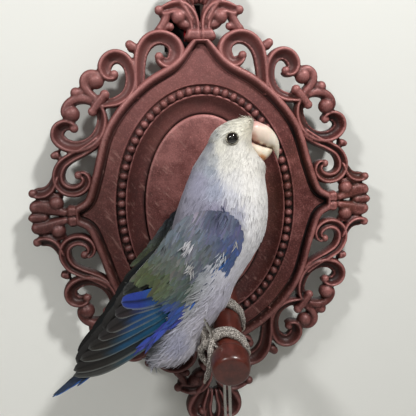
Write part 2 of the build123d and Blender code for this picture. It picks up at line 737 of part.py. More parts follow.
# ---------------------------------------------------------------- bird: feet, claws, legs and their wires
toe_ring_radius = peg_radius + toe_gap + toe_radius
toe_start, toe_end = toe_ends
for side, reach in foot_reaches.items():
    anchor, ankle, bend, wire_end = wire_routes[side]
    foot_frame = peg_plane(reach)
    toe_centres = [foot_frame.origin + foot_frame.z_dir * spread for spread in (-toe_spread, toe_spread)]

    with BuildPart() as foot:
        for centre in toe_centres:
            angle = radians(toe_start)
            radial = foot_frame.x_dir * cos(angle) + foot_frame.y_dir * sin(angle)
            toe_plane = Plane(
                origin=centre + radial * toe_ring_radius, x_dir=radial, z_dir=foot_frame.z_dir.cross(radial)
            )
            with BuildSketch(toe_plane):
                Circle(toe_radius)
            revolve(axis=Axis(centre, foot_frame.z_dir), revolution_arc=toe_end - toe_start)
        with Locations(ankle):
            Sphere(ankle_radius, rotation=(35, 20, 0))
        add(wire_bores[side], mode=Mode.SUBTRACT)
    finish(foot.part, f"foot_{side}")

    with BuildPart() as claws:
        for centre in toe_centres:
            for end_angle, turn in ((toe_start, -1), (toe_end, 1)):
                angle = radians(end_angle)
                radial = foot_frame.x_dir * cos(angle) + foot_frame.y_dir * sin(angle)
                onward = foot_frame.z_dir.cross(radial) * turn
                root_plane = Plane(origin=centre + radial * toe_ring_radius, x_dir=radial, z_dir=onward)
                with BuildSketch(root_plane):
                    Circle(toe_radius)
                with BuildSketch(root_plane.offset(claw_length)):
                    Circle(claw_tip_radius)
                loft()
    finish(claws.part, f"claws_{side}")

    with BuildPart() as leg:
        add(rod(ankle, ankle + (ankle - bend).normalized() * leg_length, leg_radius))
        for cut in (foot.part, body_outside, wire_bores[side], wing_right.part, wing_left):
            add(cut, mode=Mode.SUBTRACT)
    finish(leg.part, f"leg_{side}")

    with BuildPart() as leg_wire:
        with BuildLine():
            FilletPolyline(anchor, bend, wire_end, radius=leg_wire_bend_radius)
        with BuildSketch(Plane(origin=anchor, z_dir=bend - anchor)):
            Circle(leg_wire_radius)
        sweep()
    finish(leg_wire.part, f"leg_wire_{side}")
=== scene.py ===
"""A preserved lovebird on a turned peg in front of an openwork oval plaque, built around its fixed frame."""

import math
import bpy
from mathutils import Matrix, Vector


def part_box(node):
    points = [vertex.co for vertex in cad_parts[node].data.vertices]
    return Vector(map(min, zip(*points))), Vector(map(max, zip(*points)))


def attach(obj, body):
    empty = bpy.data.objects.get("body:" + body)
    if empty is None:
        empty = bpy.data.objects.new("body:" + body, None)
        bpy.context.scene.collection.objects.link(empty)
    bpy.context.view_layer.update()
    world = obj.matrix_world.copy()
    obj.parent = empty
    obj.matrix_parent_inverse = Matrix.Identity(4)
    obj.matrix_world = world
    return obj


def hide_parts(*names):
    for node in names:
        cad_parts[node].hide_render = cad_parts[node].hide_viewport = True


bl_info = {
    "name": "Lovebird Wall Plaque",
    "version": (1, 0, 0),
    "blender": (4, 5, 0),
    "location": "View3D > Sidebar > Lovebird Plaque",
    "description": "Casts the plaque, turns the peg and feathers the bird around the packed frame",
    "category": "Object",
}

import bpy
import numpy as np
from bpy.props import FloatProperty, FloatVectorProperty, IntProperty, PointerProperty
from mathutils import Matrix, Vector

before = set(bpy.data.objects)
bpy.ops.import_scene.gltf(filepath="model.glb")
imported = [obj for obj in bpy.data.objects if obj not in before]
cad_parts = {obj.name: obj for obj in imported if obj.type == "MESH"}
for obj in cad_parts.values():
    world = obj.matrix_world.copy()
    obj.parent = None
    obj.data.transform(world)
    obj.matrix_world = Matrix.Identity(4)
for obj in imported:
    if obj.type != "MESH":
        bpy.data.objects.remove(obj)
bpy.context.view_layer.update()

MM = 0.001
PLAQUE_BODY = "mounted_plaque"


# ---------------------------------------------------------------- measures read from the frame
def box_mm(node):
    """Lowest and highest corner of a node of the frame, in millimetres."""
    low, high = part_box(node)
    return np.array(low) / MM, np.array(high) / MM


def box_centre(node):
    low, high = box_mm(node)
    return (low + high) / 2


finial_low, finial_high = box_mm("side_finial_right")
crest_low, crest_high = box_mm("crest")
STRETCH = (finial_high[0] / 95.3, crest_high[2] / 130.0)
RELIEF_BACK, RELIEF_FRONT = -crest_high[1], -crest_low[1]
FIELD = RELIEF_FRONT - 3.0
BIRD_MIDDLE = -(box_centre("eye_right")[1] + box_centre("eye_left")[1]) / 2
EYE_SPOT = box_centre("eye_right")[[0, 2]]

# Camera, in millimetres: where it stands, and its own right, up and backward directions.
CAMERA_PLACE = np.array((-35.94, -283.37, 44.06))
CAMERA_RIGHT = (0.9893, -0.1408, -0.0372)
CAMERA_UP = (0.0590, 0.1539, 0.9863)
CAMERA_BACK = (-0.1331, -0.9780, 0.1606)
CAMERA_LENS = 43.27
# The bird is drawn on a plane this far from the wall, and its points are moved along the line of sight.
DRAWING_DEPTH = 63.0


def paint(red, green, blue):
    """Linear colour of display values from 0 to 255."""
    values = [value / 255 for value in (red, green, blue)]
    return tuple(v / 12.92 if v < 0.04045 else ((v + 0.055) / 1.055) ** 2.4 for v in values) + (1.0,)


# ---------------------------------------------------------------- what a user may change
class PlaqueSettings(bpy.types.PropertyGroup):
    # The recess and edge colours serve partly as painted shade in the hollows and painted highlight on the
    # raised edges, besides rubbed paint.
    recess_colour: FloatVectorProperty(
        name="Recess colour", description="Paint in the hollows of the casting", subtype="COLOR", size=4,
        min=0.0, max=1.0, default=paint(17, 8, 8))
    body_colour: FloatVectorProperty(
        name="Body colour", description="Paint on the flat of the casting", subtype="COLOR", size=4,
        min=0.0, max=1.0, default=paint(98, 47, 44))
    edge_colour: FloatVectorProperty(
        name="Edge colour", description="Rubbed paint on the raised edges", subtype="COLOR", size=4,
        min=0.0, max=1.0, default=paint(184, 122, 118))
    bead_radius: FloatProperty(
        name="Bead radius", description="Radius of one bead of the strip", default=2.25 * MM, min=0.5 * MM,
        max=4 * MM, unit="LENGTH")
    bead_count: IntProperty(name="Beads", description="Beads round the oval", default=70, min=12, max=200)
    casting_detail: FloatProperty(
        name="Casting detail", description="Spacing of the scrollwork's surface points", default=0.5 * MM,
        min=0.2 * MM, max=2 * MM, unit="LENGTH")


class PegSettings(bpy.types.PropertyGroup):
    peg_colour: FloatVectorProperty(
        name="Peg colour", description="Stained wood of the peg", subtype="COLOR", size=4,
        min=0.0, max=1.0, default=paint(84, 36, 27))
    dowel_radius: FloatProperty(
        name="Dowel radius", description="Radius of the peg between the feet", default=7.0 * MM, min=2 * MM,
        max=12 * MM, unit="LENGTH")
    knob_radius: FloatProperty(
        name="Knob radius", description="Largest radius of the knob", default=8.9 * MM, min=3 * MM,
        max=15 * MM, unit="LENGTH")


class BirdSettings(bpy.types.PropertyGroup):
    down_count: IntProperty(
        name="Down strands", description="Fine feathers on the head and body", default=26000, min=100,
        max=60000)
    covert_count: IntProperty(
        name="Coverts", description="Small feathers on each wing", default=1500, min=50, max=8000)
    fluff_count: IntProperty(
        name="Vent fluff", description="Long soft strands under the tail", default=2600, min=50, max=8000)
    bill_colour: FloatVectorProperty(
        name="Bill colour", description="Horn of the bill", subtype="COLOR", size=4,
        min=0.0, max=1.0, default=paint(232, 222, 200))
    foot_colour: FloatVectorProperty(
        name="Foot colour", description="Scales of the feet", subtype="COLOR", size=4,
        min=0.0, max=1.0, default=paint(196, 190, 182))


class StageSettings(bpy.types.PropertyGroup):
    wall_colour: FloatVectorProperty(
        name="Wall colour", description="Paint of the wall", subtype="COLOR", size=4,
        min=0.0, max=1.0, default=paint(232, 234, 230))
    key_power: FloatProperty(
        name="Key light", description="Power of each of the two ceiling lights", default=7.2, min=0.0,
        max=200.0,
        unit="POWER")
    fill_power: FloatProperty(
        name="Fill light", description="Power of the large soft light", default=2.0, min=0.0, max=200.0,
        unit="POWER")


# ---------------------------------------------------------------- drawing helpers
def at_depth(x, z, depth):
    """A point of the drawing plane, moved along the camera's line of sight to another depth. Returns
    x, y, z."""
    x, z, depth = np.broadcast_arrays(*[np.asarray(value, float) for value in (x, z, depth)])
    share = (-depth - CAMERA_PLACE[1]) / (-DRAWING_DEPTH - CAMERA_PLACE[1])
    return np.stack([
        CAMERA_PLACE[0] + (x - CAMERA_PLACE[0]) * share, -depth,
        CAMERA_PLACE[2] + (z - CAMERA_PLACE[2]) * share,
    ], axis=-1)


def smooth_line(points, count, space=2):
    """Evenly spaced stations on a smooth line through points. The first columns are its place in space."""
    p = np.asarray(points, float)
    ends = np.vstack([2 * p[0] - p[1], p, 2 * p[-1] - p[-2]])
    t = np.linspace(0, 1, 17)[:-1, None]
    dense = []
    for a, b, c, d in zip(ends, ends[1:], ends[2:], ends[3:]):
        dense.append(0.5 * (2 * b + (c - a) * t + (2 * a - 5 * b + 4 * c - d) * t**2
            + (3 * b - a - 3 * c + d) * t**3))
    dense = np.vstack(dense + [p[-1:]])
    steps = np.linalg.norm(np.diff(dense[:, :space], axis=0), axis=1)
    run = np.concatenate([[0.0], np.cumsum(steps)])
    at = np.linspace(0, run[-1], count)
    return np.column_stack([np.interp(at, run, column) for column in dense.T])


def grid_faces(rows, columns, closed=False, start=0):
    """Four-sided faces of a grid of points, closed round its columns if wanted."""
    r, c = np.meshgrid(np.arange(rows - 1), np.arange(columns if closed else columns - 1), indexing="ij")
    n = (c + 1) % columns
    return np.stack(
        [r * columns + c, r * columns + n, (r + 1) * columns + n, (r + 1) * columns + c],
        axis=-1).reshape(-1, 4) + start


def loft(rings):
    """Closed solid through rings of points, with both ends capped."""
    rings = np.asarray(rings, float)
    rows, columns = rings.shape[:2]
    faces = grid_faces(rows, columns, closed=True).tolist()
    faces.append(list(range(columns))[::-1])
    faces.append([(rows - 1) * columns + i for i in range(columns)])
    return rings.reshape(-1, 3), faces


def gather(parts):
    """Several (points, faces) as one."""
    points, faces, start = [], [], 0
    for part_points, part_faces in parts:
        points.append(np.asarray(part_points, float))
        faces.extend([[index + start for index in face] for face in (
            part_faces.tolist() if isinstance(part_faces, np.ndarray) else part_faces)])
        start += len(part_points)
    return np.vstack(points), faces


def ball(centre, radii, rings=14, columns=20):
    """Closed ball or egg with its poles along Z."""
    lat = np.linspace(-math.pi / 2 + 0.12, math.pi / 2 - 0.12, rings)[:, None]
    lon = np.linspace(0, 2 * math.pi, columns, endpoint=False)[None, :]
    shape = np.stack([np.cos(lat) * np.cos(lon), np.cos(lat) * np.sin(lon), np.sin(lat) * np.ones_like(lon)],
        axis=-1)
    return loft(shape * np.asarray(radii, float) + np.asarray(centre, float))


def tube(path, radii, columns=14, squash=1.0, up=(0, 0, 1)):
    """Closed tube along a path in space, with a radius for each station."""
    path, radii = np.asarray(path, float), np.asarray(radii, float)
    along = np.gradient(path, axis=0)
    along /= np.linalg.norm(along, axis=1)[:, None]
    side = np.cross(along, np.asarray(up, float))
    weak = np.linalg.norm(side, axis=1) < 0.05
    side[weak] = np.cross(along[weak], (1.0, 0.2, 0.1))
    side /= np.linalg.norm(side, axis=1)[:, None]
    over = np.cross(side, along)
    turn = np.linspace(0, 2 * math.pi, columns, endpoint=False)
    rings = path[:, None] + radii[:, None, None] * (
        np.cos(turn)[None, :, None] * side[:, None] + squash * np.sin(turn)[None, :, None] * over[:, None])
    return loft(rings)


def put_mesh(name, points, faces, tints=None, wear_and_shade=None):
    """New object in the scene from points in millimetres."""
    mesh = bpy.data.meshes.new(name)
    mesh.from_pydata((np.asarray(points) * MM).tolist(), [],
        faces.tolist() if isinstance(faces, np.ndarray) else faces)
    mesh.polygons.foreach_set("use_smooth", [True] * len(mesh.polygons))
    if tints is not None:
        layer = mesh.color_attributes.new("tint", "FLOAT_COLOR", "POINT")
        layer.data.foreach_set("color", np.asarray(tints, np.float32).ravel())
    if wear_and_shade is not None:
        layer = mesh.attributes.new("wear_and_shade", "FLOAT", "POINT")
        layer.data.foreach_set("value", np.asarray(wear_and_shade, np.float32))
    mesh.update()
    made = bpy.data.objects.new(name, mesh)
    bpy.context.scene.collection.objects.link(made)
    return made


def finish_piece(made, material, slot, *nodes, body=PLAQUE_BODY):
    """Gives a piece its material and its body, and hides the nodes of the frame that it stands for. The slot
    argument is not used.
    """
    made.data.materials.clear()
    made.data.materials.append(material)
    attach(made, body)
    if nodes:
        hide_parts(*nodes)
    return made


def coat_node(node, material):
    """New material on a node of the frame that keeps its own shape."""
    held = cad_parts[node]
    held.data.materials.clear()
    held.data.materials.append(material)


def read_points(mesh):
    values = np.zeros(len(mesh.vertices) * 3, np.float32)
    mesh.vertices.foreach_get("co", values)
    return values.reshape(-1, 3).astype(float) / MM


def with_modifiers(made, *settings):
    """Applies modifiers, given as (kind, values), and returns the points and faces that come out."""
    for kind, values in settings:
        modifier = made.modifiers.new(kind.lower(), kind)
        for key, value in values.items():
            setattr(modifier, key, value)
    graph = bpy.context.evaluated_depsgraph_get()
    mesh = bpy.data.meshes.new_from_object(made.evaluated_get(graph))
    points, faces = read_points(mesh), [list(p.vertices) for p in mesh.polygons]
    old = made.data
    bpy.data.objects.remove(made)
    bpy.data.meshes.remove(old)
    bpy.data.meshes.remove(mesh)
    return points, faces


def bulge_wear_and_shade(points, faces, blur=3, gain=1.6):
    """How far each point stands out from its neighbours: 0 in a hollow, 0.5 on the flat, 1 on an edge. It
    sets painted shade in the hollows and painted highlight on the edges, besides rubbed paint.
    """
    mesh = bpy.data.meshes.new("measure")
    mesh.from_pydata(np.asarray(points).tolist(), [], faces)
    edges = np.zeros(len(mesh.edges) * 2, np.int32)
    mesh.edges.foreach_get("vertices", edges)
    edges = edges.reshape(-1, 2)
    normals = np.zeros(len(mesh.vertices) * 3, np.float32)
    mesh.vertices.foreach_get("normal", normals)
    normals = normals.reshape(-1, 3)
    bpy.data.meshes.remove(mesh)
    count = len(points)
    degree = np.maximum(np.bincount(edges.ravel(), minlength=count), 1)

    def around(values):
        total = np.bincount(edges[:, 0], values[edges[:, 1]], count) + np.bincount(edges[:, 1],
            values[edges[:, 0]], count)
        return total / degree

    mean = np.column_stack([around(points[:, k]) for k in range(3)])
    length = np.linalg.norm(points[edges[:, 0]] - points[edges[:, 1]], axis=1)
    size = np.maximum((np.bincount(edges[:, 0], length, count) + np.bincount(edges[:, 1], length,
        count)) / degree, 1e-6)
    bulge = -np.einsum("ij,ij->i", mean - points, normals) / size**2
    for _ in range(blur):
        bulge = 0.4 * bulge + 0.6 * around(bulge)
    return np.clip(0.5 + gain * bulge, 0, 1)


# ---------------------------------------------------------------- material helpers
class Recipe:
    """A node material under construction."""

    def __init__(self, name):
        self.material = bpy.data.materials.new(name)
        self.material.use_nodes = True
        self.tree = self.material.node_tree
        self.tree.nodes.clear()
        self.out = self.tree.nodes.new("ShaderNodeOutputMaterial")
        self.shader = self.add("ShaderNodeBsdfPrincipled")
        self.join(self.shader, "BSDF", self.out, "Surface")

    def add(self, kind, settings=None, **sockets):
        made = self.tree.nodes.new(kind)
        for key, value in (settings or {}).items():
            setattr(made, key, value)
        for key, value in sockets.items():
            made.inputs[key.replace("_", " ")].default_value = value
        return made

    def join(self, source, output, target, socket):
        self.tree.links.new(source.outputs[output], target.inputs[socket])

    def set(self, **sockets):
        for key, value in sockets.items():
            self.shader.inputs[key.replace("_", " ")].default_value = value

    def places(self, scale=(1, 1, 1), turn=(0, 0, 0)):
        """Object coordinates, scaled and turned."""
        source = self.add("ShaderNodeTexCoord")
        mapping = self.add("ShaderNodeMapping", {"vector_type": "TEXTURE"},
            Scale=[1 / value for value in scale], Rotation=turn)
        self.join(source, "Object", mapping, "Vector")
        return mapping

    def noise(self, scale, detail=3.0, roughness=0.55, stretch=(1, 1, 1), turn=(0, 0, 0)):
        texture = self.add("ShaderNodeTexNoise", Scale=scale, Detail=detail, Roughness=roughness)
        self.join(self.places(stretch, turn), "Vector", texture, "Vector")
        return texture

    def ramp(self, source, output, *stops):
        """Colours against a value."""
        made = self.add("ShaderNodeValToRGB")
        self.join(source, output, made, "Fac")
        elements = made.color_ramp.elements
        while len(elements) < len(stops):
            elements.new(1.0)
        for element, (position, colour) in zip(elements, stops):
            element.position, element.color = position, colour
        return made

    def span(self, source, output, low, high, to_low=0.0, to_high=1.0):
        made = self.add("ShaderNodeMapRange")
        self.join(source, output, made, "Value")
        for socket, value in zip(("From Min", "From Max", "To Min", "To Max"), (low, high, to_low, to_high)):
            made.inputs[socket].default_value = value
        return made

    def math(self, operation, a, b):
        """Arithmetic on (node, output) pairs or plain numbers."""
        made = self.add("ShaderNodeMath", {"operation": operation})
        for index, value in enumerate((a, b)):
            if isinstance(value, tuple):
                self.tree.links.new(value[0].outputs[value[1]], made.inputs[index])
            else:
                made.inputs[index].default_value = value
        return made

    def mix(self, share, a, b, blend="MIX"):
        """Mix of two colours, each a colour or a (node, output) pair."""
        made = self.add("ShaderNodeMix", {"data_type": "RGBA", "blend_type": blend})
        if isinstance(share, tuple):
            self.tree.links.new(share[0].outputs[share[1]], made.inputs[0])
        else:
            made.inputs[0].default_value = share
        for index, value in ((6, a), (7, b)):
            if isinstance(value[0], bpy.types.Node):
                self.tree.links.new(value[0].outputs[value[1]], made.inputs[index])
            else:
                made.inputs[index].default_value = value
        return (made, 2)

    def colour(self, pair):
        self.tree.links.new(pair[0].outputs[pair[1]], self.shader.inputs["Base Color"])

    def bump(self, *heights):
        """Stacks bumps, each (node, output, strength, distance in metres)."""
        before = None
        for source, output, strength, distance in heights:
            made = self.add("ShaderNodeBump", Strength=strength, Distance=distance)
            self.join(source, output, made, "Height")
            if before is not None:
                self.join(before, "Normal", made, "Normal")
            before = made
        self.join(before, "Normal", self.shader, "Normal")


def grey(value):
    return (value, value, value, 1.0)


def cast_paint(name, settings, scratches=0.25, warmth=0.35):
    """Satin paint over a grainy casting: dark hollows and pale raised edges, which are partly rubbed paint
    and partly painted shade and painted highlight, a fine painted sparkle of glints, slanting scratches, and
    a painted glare on the upper left and painted shade on the lower left, by place on the plaque."""
    recipe = Recipe(name)
    # This attribute darkens the hollows as painted shade and pales the raised edges as painted highlight,
    # besides marking rubbed paint.
    wear_and_shade = recipe.add("ShaderNodeAttribute", {"attribute_name": "wear_and_shade"})
    recess, body, edge = (tuple(getattr(settings, key)) for key in ("recess_colour", "body_colour",
        "edge_colour"))
    mottle = recipe.noise(90.0, 5.0, 0.65)
    shifted = recipe.math("ADD", (wear_and_shade, "Fac"), (recipe.span(mottle, "Fac", 0.3, 0.7, -0.13, 0.13), "Result"))
    tone = recipe.ramp(
        shifted, "Value", (0.08, recess), (0.40, tuple(c * 0.55 for c in body[:3]) + (1.0,)), (0.62, body),
        (0.95, edge))
    warm = recipe.noise(34.0, 3.0)
    warm_mask = recipe.span(warm, "Fac", 0.46, 0.68, 0.0, warmth)
    toned = recipe.mix((warm_mask, "Result"), (tone, "Color"), paint(104, 60, 42))
    grain = recipe.noise(1300.0, 2.0, 0.7)
    # Painted sparkle: pale specks of the edge colour in the base colour stand in for glints of light, fewer
    # in the hollows.
    sparkle = recipe.span(grain, "Fac", 0.56, 0.74, 0.0, 0.75)
    dimmed = recipe.math("MULTIPLY", (sparkle, "Result"), (recipe.span(shifted, "Value", 0.2, 0.7), "Result"))
    sparkled = recipe.mix((dimmed, "Value"), toned, edge)
    pits = recipe.span(grain, "Fac", 0.45, 0.28, 0.0, 0.6)
    pitted = recipe.mix((pits, "Result"), sparkled, recess)
    scratch = recipe.noise(520.0, 3.0, 0.6, stretch=(0.16, 1.0, 1.0), turn=(0.0, math.radians(52), 0.0))
    place = recipe.add("ShaderNodeSeparateXYZ")
    recipe.join(recipe.places(), "Vector", place, "Vector")
    low_left = recipe.math("ADD", (place, "X"), (place, "Z"))
    where = recipe.span(low_left, "Value", 0.05, -0.04, 0.10, 1.0)
    line = recipe.span(scratch, "Fac", 0.58, 0.70, 0.0, scratches)
    mask = recipe.math("MULTIPLY", (line, "Result"), (where, "Result"))
    scratched = recipe.mix((mask, "Value"), pitted, paint(196, 150, 140))
    # Painted glare: the paint turns paler towards the upper left by place on the plaque, as if lit there.
    aside = recipe.math("MULTIPLY", (place, "X"), 0.35)
    upward = recipe.math("SUBTRACT", (place, "Z"), (aside, "Value"))
    painted_glare = recipe.span(upward, "Value", 0.02, 0.085, 0.0, 0.38)
    scratched = recipe.mix((painted_glare, "Result"), scratched, paint(176, 118, 116))
    # Painted shade: the paint turns darker towards the lower left by place on the plaque.
    painted_shade_low_left = recipe.span(low_left, "Value", 0.045, -0.06, 0.0, 0.62)
    recipe.colour(recipe.mix((painted_shade_low_left, "Result"), scratched, paint(44, 20, 17)))
    rough = recipe.span(grain, "Fac", 0.3, 0.75, 0.60, 0.36)
    recipe.join(rough, "Result", recipe.shader, "Roughness")
    recipe.set(Metallic=0.15, Specular_IOR_Level=0.5)
    coarse = recipe.noise(300.0, 4.0)
    recipe.bump((coarse, "Fac", 0.55, 0.0004), (grain, "Fac", 0.6, 0.00015),
        (scratch, "Fac", scratches * 0.6, 0.00012))
    return recipe.material


def stained_wood(name, colour):
    """Semi-gloss stained wood with grain along the peg."""
    recipe = Recipe(name)
    grain = recipe.noise(260.0, 5.0, 0.6, stretch=(1.0, 0.12, 1.0),
        turn=(math.radians(-16), 0, math.radians(-7)))
    tone = recipe.ramp(grain, "Fac", (0.25, tuple(c * 0.45 for c in colour[:3]) + (1.0,)),
        (0.55, tuple(colour)),
                       (0.8, tuple(min(1.0, c * 1.5) for c in colour[:3]) + (1.0,)))
    dust = recipe.noise(900.0, 2.0)
    recipe.colour(recipe.mix((recipe.span(dust, "Fac", 0.55, 0.8, 0.0, 0.16), "Result"), (tone, "Color"),
        paint(142, 92, 84)))
    recipe.join(recipe.span(dust, "Fac", 0.3, 0.7, 0.28, 0.46), "Result", recipe.shader, "Roughness")
    recipe.set(Specular_IOR_Level=0.4, Coat_Weight=0.5, Coat_Roughness=0.22)
    recipe.bump((grain, "Fac", 0.15, 0.0002), (dust, "Fac", 0.12, 0.0001))
    return recipe.material


def plumage(name, roughness=0.72, sheen=0.35, barbs=0.5):
    """Feather colour from the mesh, with barbs across each blade and a soft uneven tone."""
    recipe = Recipe(name)
    tint = recipe.add("ShaderNodeAttribute", {"attribute_name": "tint"})
    uneven = recipe.noise(340.0, 4.0, 0.6)
    shade = recipe.span(uneven, "Fac", 0.25, 0.75, 0.80, 1.16)
    toned = recipe.mix(1.0, (tint, "Color"),
        (recipe.ramp(shade, "Result", (0.0, grey(0.0)), (1.0, grey(1.0))), "Color"), "MULTIPLY")
    blade = recipe.add("ShaderNodeUVMap", {"uv_map": "blade"})
    stripes = recipe.add("ShaderNodeTexWave", {"wave_type": "BANDS", "bands_direction": "DIAGONAL"},
                         Scale=9.0, Distortion=1.2, Detail=1.0, Detail_Scale=1.0)
    recipe.join(blade, "UV", stripes, "Vector")
    darker = recipe.mix((recipe.span(stripes, "Fac", 0.2, 0.9, barbs * 0.4, 0.0), "Result"), toned,
        (0.0, 0.0, 0.0, 1.0))
    recipe.colour(darker)
    recipe.set(Roughness=roughness, Specular_IOR_Level=0.25, Sheen_Weight=sheen, Sheen_Roughness=0.5)
    recipe.bump((stripes, "Fac", 0.3 * barbs, 0.0002))
    return recipe.material


def tinted_horn(name, roughness=0.34, flow=0.06):
    """Bill or claw: colour from the mesh, faint growth lines, a soft glow under the surface."""
    recipe = Recipe(name)
    tint = recipe.add("ShaderNodeAttribute", {"attribute_name": "tint"})
    lines = recipe.noise(420.0, 4.0, 0.6, stretch=(1.0, 1.0, 0.4))
    recipe.colour(recipe.mix((recipe.span(lines, "Fac", 0.35, 0.75, 0.0, 0.28), "Result"), (tint, "Color"),
        paint(168, 150, 124)))
    recipe.join(recipe.span(lines, "Fac", 0.3, 0.7, roughness - 0.08, roughness + 0.12), "Result",
        recipe.shader, "Roughness")
    recipe.set(Subsurface_Weight=flow, Subsurface_Scale=0.002, Specular_IOR_Level=0.5)
    recipe.bump((lines, "Fac", 0.12, 0.0002))
    return recipe.material


def scaly_skin(name, colour):
    """Dry scales with dark creases."""
    recipe = Recipe(name)
    cells = recipe.add("ShaderNodeTexVoronoi", {"feature": "DISTANCE_TO_EDGE"}, Scale=1150.0, Randomness=0.9)
    recipe.join(recipe.places(), "Vector", cells, "Vector")
    crease = recipe.span(cells, "Distance", 0.02, 0.16)
    patch = recipe.noise(500.0, 3.0)
    tone = recipe.ramp(patch, "Fac", (0.3, tuple(c * 0.55 for c in colour[:3]) + (1.0,)),
        (0.62, tuple(colour)))
    recipe.colour(recipe.mix((crease, "Result"), paint(74, 66, 62), (tone, "Color")))
    recipe.set(Roughness=0.6, Specular_IOR_Level=0.3)
    recipe.bump((crease, "Result", 0.7, 0.0003), (patch, "Fac", 0.3, 0.0002))
    return recipe.material


def bare_metal(name, colour, roughness=0.3, drawn=(1.0, 1.0, 1.0), rust=0.0):
    """Bright or plated steel with draw lines and faint stains."""
    recipe = Recipe(name)
    lines = recipe.noise(900.0, 3.0, 0.6, stretch=drawn)
    stain = recipe.noise(160.0, 4.0)
    tone = recipe.ramp(lines, "Fac", (0.3, tuple(c * 0.72 for c in colour[:3]) + (1.0,)),
        (0.7, tuple(colour)))
    recipe.colour(recipe.mix((recipe.span(stain, "Fac", 0.58, 0.75, 0.0, rust), "Result"), (tone, "Color"),
        paint(96, 62, 40)))
    recipe.join(recipe.span(stain, "Fac", 0.3, 0.7, roughness - 0.08, roughness + 0.15), "Result",
        recipe.shader, "Roughness")
    recipe.set(Metallic=1.0)
    recipe.bump((lines, "Fac", 0.15, 0.00008))
    return recipe.material


def fibre(name, light, dark, scale=300.0, stretch=(1, 1, 1), roughness=0.9, depth=0.0004, strength=0.5):
    """Matt board, foam, balsa, bone or paper: two tones of a grain, with a matching bump."""
    recipe = Recipe(name)
    grain = recipe.noise(scale, 5.0, 0.65, stretch=stretch)
    fine = recipe.noise(scale * 5, 2.0, 0.6, stretch=stretch)
    tone = recipe.ramp(grain, "Fac", (0.32, dark), (0.68, light))
    recipe.colour(recipe.mix((recipe.span(fine, "Fac", 0.5, 0.8, 0.0, 0.4), "Result"), (tone, "Color"), dark))
    recipe.set(Roughness=roughness, Specular_IOR_Level=0.2)
    recipe.bump((grain, "Fac", strength, depth), (fine, "Fac", strength * 0.6, depth * 0.3))
    return recipe.material


# ---------------------------------------------------------------- scrollwork
# Cross section of a stroke: place across it, 1 on the outer edge of the curve, and height.
COVED_BAND = ((1.0, 0.0), (1.0, 0.42), (0.96, 0.66), (0.86, 0.86), (0.70, 0.98), (0.50, 1.0), (0.30, 0.90),
    (0.12, 0.72),
              (-0.10, 0.56), (-0.35, 0.48), (-0.62, 0.48), (-0.82, 0.55), (-0.96, 0.44), (-1.0, 0.0))
REEDED_STEM = ((1.0, 0.0), (1.0, 0.45), (0.94, 0.74), (0.78, 0.95), (0.56, 1.0), (0.34, 0.86), (0.18, 0.70),
    (0.0, 0.66),
               (-0.18, 0.72), (-0.40, 0.90), (-0.62, 0.94), (-0.84, 0.78), (-0.97, 0.45), (-1.0, 0.0))
ROUND_BAR = ((1.0, 0.0), (1.0, 0.40), (0.94, 0.62), (0.78, 0.84), (0.50, 0.97), (0.18, 1.0), (-0.18, 1.0),
    (-0.50, 0.97),
             (-0.78, 0.84), (-0.94, 0.62), (-1.0, 0.40), (-1.0, 0.0))

